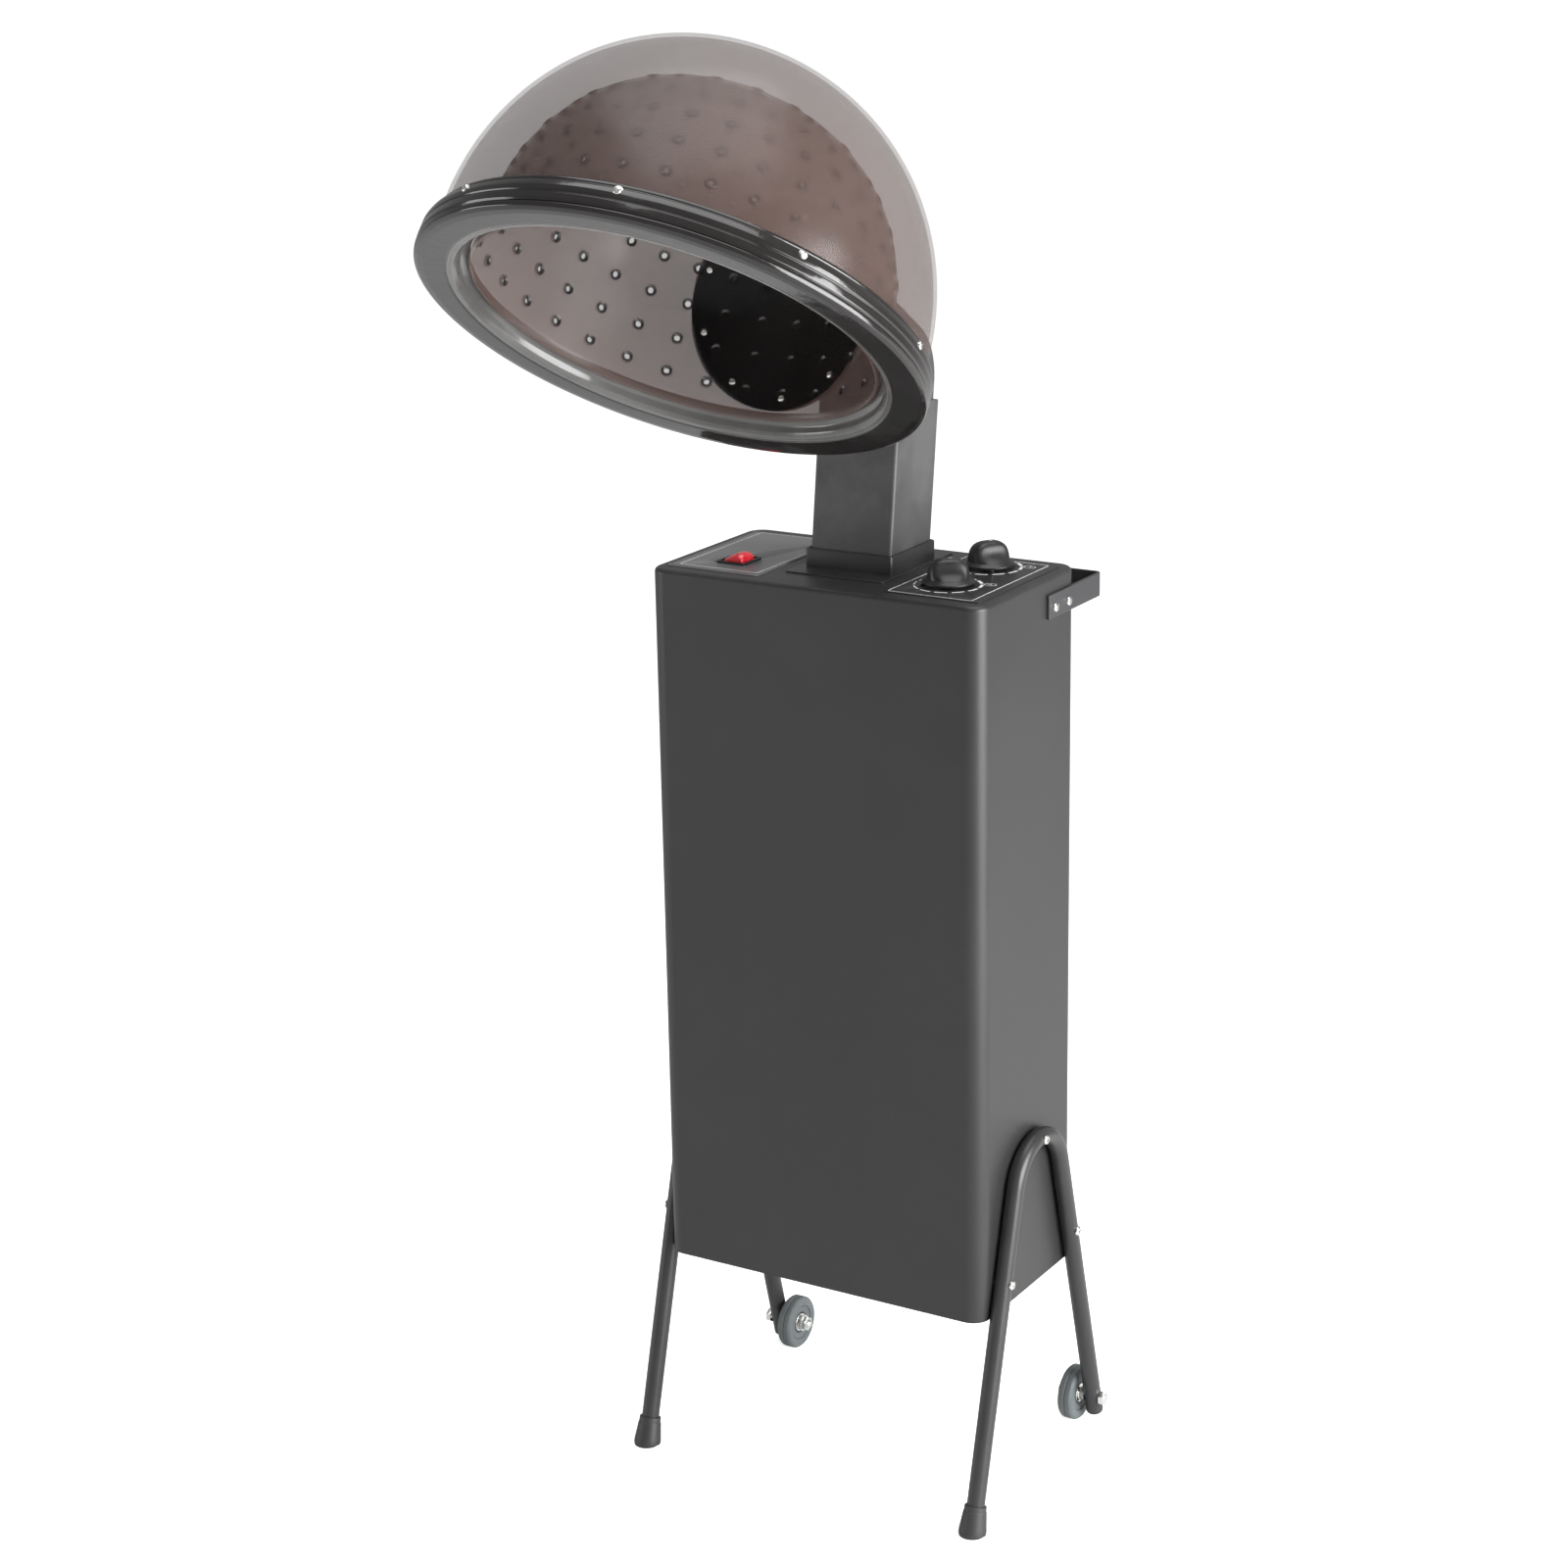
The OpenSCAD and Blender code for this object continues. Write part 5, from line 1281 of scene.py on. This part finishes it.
# ---- Hood --------------------------------------------------------------------
@dataclass(frozen=True)
class Dome:
    """A shell's outline as a rounded curve between its radius and its rise."""

    radius: float
    rise: float
    base: float
    power: float

    def grown(self, by: float) -> "Dome":
        """The same outline further out."""
        return Dome(self.radius + by, self.rise + by, self.base, self.power)

    def reach(self, up: float) -> float:
        """Distance from the centre to the face, that many degrees above the rim."""
        a = radians(up)
        return ((abs(cos(a)) / self.radius) ** self.power + (abs(sin(a)) / self.rise) ** self.power) ** (
            -1 / self.power)

    def profile(self, steps: int, skirt: float) -> list[Point]:
        """Radius and height of the outline from the bottom of its skirt to its top."""
        points = [(self.radius, skirt), (self.radius, (skirt + self.base) / 2)]
        for i in range(steps + 1):
            up = 90 * i / steps
            far = self.reach(up)
            points.append((far * cos(radians(up)) if i < steps else 0.0, self.base + far * sin(radians(up))))
        return points

    def point(self, up: float, around: float, lift: float = 0.0) -> Vector:
        """A point on the face, below the rim's level straight down the skirt."""
        far = self.reach(up) + lift if up >= 0 else (self.radius + lift) / cos(radians(up))
        flat = far * cos(radians(up))
        return Vector((flat * cos(radians(around)), flat * sin(radians(around)),
                       self.base + far * sin(radians(up))))


@dataclass
class Hood:
    """The twin-shell hood with its rim, its nozzles, the deflector and the hinge saddle."""

    layout: Layout
    outer: Dome = Dome(196.0, 202.0, 28.6, 2.05)
    inner: Dome = Dome(164.7, 175.5, 19.0, 2.31)
    outer_wall: float = 3.0
    inner_wall: float = 2.5
    rim: float = 206.3
    mouth: float = 172.0
    nozzle_start: float = 87.0
    nozzle_rows: tuple[int, ...] = (1, 1, 1, 1, 1, 2, 2)
    row_step: float = 10.0
    first_row: float = 4.0
    spacing: float = 12.0
    rim_screws: int = 9
    rim_screw_start: float = 6.0
    rim_screw_z: float = 17.0
    deflector_radius: float = 80.7
    deflector_screws: int = 9
    deflector_screw_start: float = 2.0
    screw_lean: float = 25.9
    # Alpha of the painted shade where the dish backs the inner shell
    painted_shade_alpha: float = 0.85
    saddle_lean: float = 12.0
    saddle_turns: tuple[int, ...] = (60, 90, 120, 240, 270, 300)

    def build(self) -> None:
        """Builds the hood's pieces."""
        self.build_outer_dome()
        self.build_inner_dome()
        self.build_rim()
        self.build_trim()
        self.build_rim_screws()
        self.build_deflector()
        self.build_inner_screws()
        self.build_saddle_screws()

    def build_outer_dome(self) -> None:
        """Makes the outer shell as one closed dome."""
        shape = Shape()
        inside = self.outer.grown(-self.outer_wall).profile(48, 3.0)
        outside = self.outer.profile(48, 3.0)
        rings = [round_ring(r, z, 128) for r, z in list(reversed(outside)) + inside]
        shape.skin(rings, self.layout.hood, (False, False))
        add_piece("outer_smoke_dome", shape, "hood", ["outer_dome"], [Finishes.SMOKE_OUTER], 60)

    def nozzle_cell(self, shape: Shape, up: float, around: float, half_width: float) -> None:
        """Adds one nozzle with the patch of shell round it.

        Args:
            shape: The inner shell's shape.
            up: The nozzle's angle above the rim.
            around: Its angle about the hood's axis.
            half_width: Half of the patch's width in degrees.
        """
        dome = self.inner.grown(-self.inner_wall)
        half_height = self.row_step / 2
        across = round(2 * half_width / 3)
        border: list[Point] = []
        border += [(half_width, -half_height + half_height * k / 2) for k in range(4)]
        border += [(half_width - 2 * half_width * k / across, half_height) for k in range(across)]
        border += [(-half_width, half_height - half_height * k / 2) for k in range(4)]
        border += [(-half_width + 2 * half_width * k / across, -half_height) for k in range(across)]
        far = dome.reach(max(up, 0))
        flat = max(cos(radians(up)), 0.05)
        rings = [[dome.point(up + dy, around + dx) for dx, dy in border]]
        angles = [atan2(dy * far, dx * far * flat) for dx, dy in border]
        outline = ((5.4, 0.0), (4.3, 0.0), (3.7, 0.2), (3.2, 0.8), (2.9, 1.0), (2.4, 1.0))
        for reach, lift in outline:
            ring = []
            for angle in angles:
                dy = degrees(reach * sin(angle) / far)
                dx = degrees(reach * cos(angle) / (far * flat))
                ring.append(dome.point(up + dy, around + dx, lift))
            rings.append(ring)
        place = self.layout.hood
        shape.skin(rings[:3], place, (False, False))
        # The nozzle's cone takes the second finish, painted shade in the recess
        shape.skin(rings[2:], place, (False, False), finish=1)

    def build_inner_dome(self) -> None:
        """Makes the inner shell with its rows of raised nozzles."""
        shape = Shape()
        dome = self.inner.grown(-self.inner_wall)
        full_row = round(FULL_TURN / self.spacing)
        for row, skip in enumerate(self.nozzle_rows):
            up = self.first_row + self.row_step * row
            for number in range(0, full_row, skip):
                around = self.nozzle_start + self.spacing * number + self.spacing * (skip - 1) / 2
                self.nozzle_cell(shape, up, around, self.spacing * skip / 2)
        shift = self.nozzle_start + self.spacing / 2
        bottom = self.first_row - self.row_step / 2
        top = self.first_row + self.row_step * (len(self.nozzle_rows) - 0.5)
        columns = 4 * full_row

        def band(up: float) -> Ring:
            """A ring round the shell at that angle above the rim."""
            return [dome.point(up, shift + FULL_TURN * i / columns) for i in range(columns)]
        skirt = [Vector((p.x, p.y, 6.0)) for p in band(bottom)]
        shape.skin([skirt, band(bottom)], self.layout.hood, (False, False))
        crown = [band(top + (90 - top) * k / 8) for k in range(9)]
        shape.skin(crown, self.layout.hood, (False, False))
        piece = make_mesh("inner_smoke_dome", shape, [Finishes.SMOKE_INNER.material, Finishes.NOZZLE_PAINTED_SHADE.material], 70)
        self.face_outwards(piece)
        self.paint_shade_on_backed_area(piece.data.materials[0])
        thicken(piece, self.inner_wall, 1)
        finish_piece(piece, "hood", ["inner_dome"])

    def paint_shade_on_backed_area(self, material: bpy.types.Material) -> None:
        """Paints shade on the part of the inner shell that lies on the black dish: darker and less clear, standing
        for the dark seen through it.
        """
        tree = material.node_tree
        shader = tree.nodes["Principled BSDF"]
        place = tree.nodes.new("ShaderNodeTexCoord").outputs["Object"]
        inlet = self.layout.inlet
        area = place_group(tree, Group.BACKED, {"Vector": place}, Start=inlet.translation * MM,
                           Axis=inlet.to_3x3().col[2], Radius=self.deflector_radius * MM)
        clear_colour = shader.inputs["Base Color"].links[0].from_socket
        # Painted shade: the shell's colour goes over to black, and its alpha rises, where the dish lies behind it
        colour = mix_node(tree, area.outputs["Mask"], clear_colour, BLACK)
        tree.links.new(colour, shader.inputs["Base Color"])
        clear = shader.inputs["Alpha"].default_value
        alpha = math_node(tree, "MULTIPLY_ADD", area.outputs["Mask"], self.painted_shade_alpha - clear, clear)
        tree.links.new(alpha, shader.inputs["Alpha"])

    def face_outwards(self, piece: bpy.types.Object) -> None:
        """Turns an open sheet's normals away from the hood's middle."""
        centre = (self.layout.hood @ Vector((0, 0, self.inner.base))) * MM
        work = bmesh.new()
        work.from_mesh(piece.data)
        total = sum(face.normal.dot(face.calc_center_median() - centre) for face in work.faces)
        if total < 0:
            bmesh.ops.reverse_faces(work, faces=work.faces)
        work.to_mesh(piece.data)
        work.free()

    def build_rim(self) -> None:
        """Makes the glossy band round the rim, with its beads."""
        r, inner = self.rim, self.outer.radius + 0.2
        profile = fillet([
            (inner, 2.0, 0), (r - 1.0, 2.0, 0.8), (r, 4.0, 1.5), (r - 0.2, 8.6, 1.2), (r - 1.3, 10.0, 0.8),
            (r - 0.4, 11.4, 1.0), (r - 0.5, 15.0, 3.0), (r - 2.4, 19.6, 3.5), (r - 5.2, 21.2, 0.8),
            (r - 5.0, 22.6, 0.8), (r - 5.6, 24.6, 1.2), (inner + 2.2, 25.2, 1.0), (inner, 24.4, 0)], 5)
        shape = Shape()
        shape.lathe(profile, self.layout.hood, 144, closed=True)
        add_piece("rim_band", shape, "hood", ["rim_ring"], [Finishes.RIM], 35)

    def build_trim(self) -> None:
        """Makes the flat face under the rim and its rolled lip, whose lighter grey is painted sheen."""
        r, mouth = self.rim, self.mouth
        outside = fillet([
            (r - 4.0, 1.7, 0), (r - 1.0, 1.75, 0.3), (r, 0.2, 1.0), (r - 0.7, -2.8, 1.8), (r - 4.0, -4.6, 2.5),
            (r - 9.0, -5.0, 6.0), (mouth + 9.0, -4.3, 4.0), (mouth + 6.6, -3.8, 0)], 5)
        lip = fillet([
            (mouth + 6.6, -3.8, 0), (mouth + 6.0, -3.4, 0.5), (mouth + 2.6, -3.3, 2.0), (mouth, 0.2, 3.0),
            (mouth - 1.0, 5.2, 3.0), (self.inner.radius + 2.2, 9.0, 2.0), (self.inner.radius + 0.4, 14.4, 0.5),
            (self.inner.radius + 1.8, 14.6, 0.5), (self.inner.radius + 3.6, 10.2, 1.5),
            (mouth + 1.2, 6.4, 2.0), (mouth + 2.4, 1.2, 2.0), (mouth + 5.0, -1.2, 1.5), (r - 9.0, -2.6, 3.0),
            (r - 5.2, -1.6, 1.0), (r - 4.0, 1.7, 0)], 4)
        shape = Shape()
        shape.skin([round_ring(x, z, 144) for x, z in outside], self.layout.hood, (False, False))
        # The lip takes the lighter finish, painted sheen on the same gloss black
        shape.skin([round_ring(x, z, 144) for x, z in lip], self.layout.hood, (False, False), finish=1)
        add_piece("rim_face_trim", shape, "hood", ["rim_trim"], [Finishes.RIM, Finishes.LIP_PAINTED_SHEEN], 35)

    def build_rim_screws(self) -> None:
        """Makes the bright screws round the band, each in a small dimpled washer."""
        shape = Shape()
        head = PanScrew(3.2, 2.0, 1.5, 10.0)
        for number in range(self.rim_screws):
            around = self.rim_screw_start + FULL_TURN * number / self.rim_screws
            place = (self.layout.hood @ turn(around, "Z") @ move(self.rim - 1.6, 0, self.rim_screw_z)
                     @ FACING_RIGHT)
            head.build(shape, place @ turn(29 * number, "Z"))
            shape.lathe([(1.6, -0.6), (4.0, -0.8), (4.2, -0.3), (3.4, 0.0), (1.6, 0.0)], place, 32, closed=True)
        add_piece("rim_pan_screws", shape, "hood", ["rim_screws"], [Finishes.ZINC], 30)

    def up_of(self, lean: float, around: float) -> float:
        """Angle above the rim of a direction that leans off the inlet's axis."""
        rise = radians(self.layout.hood_tilt - self.layout.lean)
        lean, around = radians(lean), radians(around)
        return degrees(asin(sin(rise) * cos(lean) - cos(rise) * sin(lean) * sin(around)))

    def inlet_point(self, dome: Dome, lean: float, around: float) -> Vector:
        """A point on a dome about the inlet's axis, in the inlet's own frame."""
        far = dome.reach(self.up_of(lean, around))
        return Vector((0, 0, far)) @ (turn(around, "Z") @ turn(lean, "Y")).to_3x3().transposed()

    def build_deflector(self) -> None:
        """Makes the dished plate behind the inner shell that spreads the incoming air."""
        dome = self.inner.grown(0.4)
        edge = degrees(asin(self.deflector_radius / 168.0))
        shape = Shape()
        leans = [edge * k / 20 for k in range(21)]
        rings = [[self.inlet_point(dome, lean, 3.75 * i) for i in range(96)] for lean in reversed(leans)]
        back = [[p * (1 + 4.4 / p.length) for p in ring] for ring in reversed(rings)]
        shape.skin(rings + back, self.layout.inlet, (False, False), closed=True)
        add_piece("air_deflector_dish", shape, "hood", ["air_deflector"], [Finishes.DEFLECTOR], 50)

    def build_inner_screws(self) -> None:
        """Makes the screws that hold the deflector, their heads inside the hood."""
        shape = Shape()
        head = PanScrew(2.9, 1.7, 1.4, 7.0)
        dome = self.inner.grown(-self.inner_wall)
        for number in range(self.deflector_screws):
            around = self.deflector_screw_start + FULL_TURN * number / self.deflector_screws
            seat = dome.reach(self.up_of(self.screw_lean, around)) - 0.1
            place = (self.layout.inlet @ turn(around, "Z") @ turn(self.screw_lean, "Y") @ move(z=seat)
                     @ FLIPPED @ turn(23 * number, "Z"))
            head.build(shape, place)
        add_piece("deflector_pan_screws", shape, "hood", ["deflector_screws"], [Finishes.ZINC], 30)

    def build_saddle_screws(self) -> None:
        """Makes the screws that hold the hinge saddle to the outer shell."""
        shape = Shape()
        head = PanScrew(3.0, 1.8, 1.5, 9.0)
        offset = self.outer.base - self.inner.base
        for number, around in enumerate(self.saddle_turns):
            up = self.up_of(self.saddle_lean, around)
            far = self.outer.reach(up)
            seat = offset * sin(radians(up)) + sqrt(far ** 2 - (offset * cos(radians(up))) ** 2) + 4.1
            place = (self.layout.inlet @ turn(around, "Z") @ turn(self.saddle_lean, "Y") @ move(z=seat)
                     @ turn(17 * number, "Z"))
            head.build(shape, place)
        add_piece("saddle_pan_screws", shape, "hood", ["saddle_screws"], [Finishes.ZINC], 30)


# ---- Kept CAD pieces ---------------------------------------------------------
@dataclass
class KeptParts:
    """CAD pieces that stay as they are and take a finish: the panels and what is inside."""

    def dress(self) -> None:
        """Gives every shown CAD node the finish of its material slot."""
        slots = {row["node"]: row["material_slot"] for row in frame["record"]["subparts"]}
        by_slot = {finish.value.slot: finish for finish in reversed(list(Finishes)) if not finish.value.variant}
        for node, piece in frame["nodes"].items():
            if piece.hide_render:
                continue
            piece.data.materials.clear()
            piece.data.materials.append(by_slot[slots[node]].material)
            LOG.info("%s: kept from the frame", node)


# ---- Studio ------------------------------------------------------------------
@dataclass
class Studio:
    """Plain pale floor, soft lights and the camera."""

    camera_place: tuple[float, float, float] = (1.39986, -2.27312, 1.48677)
    yaw: float = 31.378
    pitch: float = 16.947
    roll: float = -1.058
    lens: float = 76.66
    dim: float = 0.34
    floor_glow: float = 0.72
    floor_reach: float = 40000.0
    sensor: float = 36.0

    def build(self) -> None:
        """Builds the floor, the lights and the camera."""
        self.build_floor()
        self.build_lights()
        self.build_camera()

    def build_floor(self) -> None:
        """Makes a wide pale floor that stays white where it is seen directly."""
        shape = Shape()
        corners = ((-1, -1), (1, -1), (1, 1), (-1, 1))
        shape.add([Vector((x * self.floor_reach, y * self.floor_reach, -0.3)) for x, y in corners],
                  [(0, 1, 2, 3)], Matrix())
        paper = Finish("studio_floor", (0.90, 0.90, 0.90), (0.92, 0.92, 0.92), 0.9, 0.02, grain_mm=6.0,
                       depth=0.0, patch_scale=0.4).build()
        tree = paper.node_tree
        shader = tree.nodes["Principled BSDF"]
        path = tree.nodes.new("ShaderNodeLightPath")
        glow = math_node(tree, "MULTIPLY", path.outputs["Is Camera Ray"], self.floor_glow)
        shader.inputs["Emission Color"].default_value = WHITE
        tree.links.new(glow, shader.inputs["Emission Strength"])
        make_mesh("studio_floor", shape, [paper])

    def build_lights(self) -> None:
        """Makes a surround that is white to the eye but dim on the machine, and the soft lights."""
        world = bpy.data.worlds.new("studio_surround")
        world.use_nodes = True
        tree = world.node_tree
        background = tree.nodes["Background"]
        background.inputs["Color"].default_value = WHITE
        path = tree.nodes.new("ShaderNodeLightPath")
        strength = math_node(tree, "MULTIPLY_ADD", path.outputs["Is Camera Ray"], 1 - self.dim, self.dim)
        tree.links.new(strength, background.inputs["Strength"])
        bpy.context.scene.world = world
        bpy.context.scene.view_settings.view_transform = "Standard"
        self.area_light("side_light", (3.2, -0.1, 1.2), (0, 0.1, 0.7), 2.4, 215.0)
        self.area_light("top_light", (0.2, 0.2, 3.6), (0, 0, 0.8), 2.6, 55.0)
        self.area_light("left_light", (-2.8, -1.8, 0.9), (0, -0.1, 1.0), 1.4, 22.0)

    def area_light(self, name: str, place: Sequence[float], target: Sequence[float], size: float,
                   power: float) -> None:
        """Makes one soft square light.

        Args:
            name: The light's name.
            place: Where it stands, in metres.
            target: What it faces, in metres.
            size: Length of its side in metres.
            power: Its power in watts.
        """
        light = bpy.data.lights.new(name, "AREA")
        light.shape = "SQUARE"
        light.size = size
        light.energy = power
        lamp = bpy.data.objects.new(name, light)
        bpy.context.scene.collection.objects.link(lamp)
        lamp.location = place
        lamp.rotation_euler = (Vector(target) - Vector(place)).to_track_quat("-Z", "Y").to_euler()

    def build_camera(self) -> None:
        """Makes the camera and looks through it."""
        yaw, pitch, roll = radians(self.yaw), radians(self.pitch), radians(self.roll)
        forward = Vector((-sin(yaw) * cos(pitch), cos(yaw) * cos(pitch), -sin(pitch)))
        right = Vector((cos(yaw), sin(yaw), 0))
        up = right.cross(forward)
        turned_right = right * cos(roll) + up * sin(roll)
        turned_up = -right * sin(roll) + up * cos(roll)
        data = bpy.data.cameras.new("studio_camera")
        data.lens = self.lens
        data.sensor_width = self.sensor
        data.clip_end = 200.0
        camera = bpy.data.objects.new("studio_camera", data)
        bpy.context.scene.collection.objects.link(camera)
        axes = Matrix((turned_right, turned_up, -forward)).transposed()
        camera.matrix_world = Matrix.Translation(self.camera_place) @ axes.to_4x4()
        bpy.context.scene.camera = camera


def main() -> None:
    """Builds the machine group by group, then the studio."""
    logging.basicConfig(level=logging.INFO, format="%(message)s")
    layout = Layout()
    for group in (Cabinet(layout), Legs(layout), Wheels(layout), Controls(layout), Column(layout), Hood(layout)):
        group.build()
    KeptParts().dress()
    Studio().build()


if __name__ == "__main__":
    main()
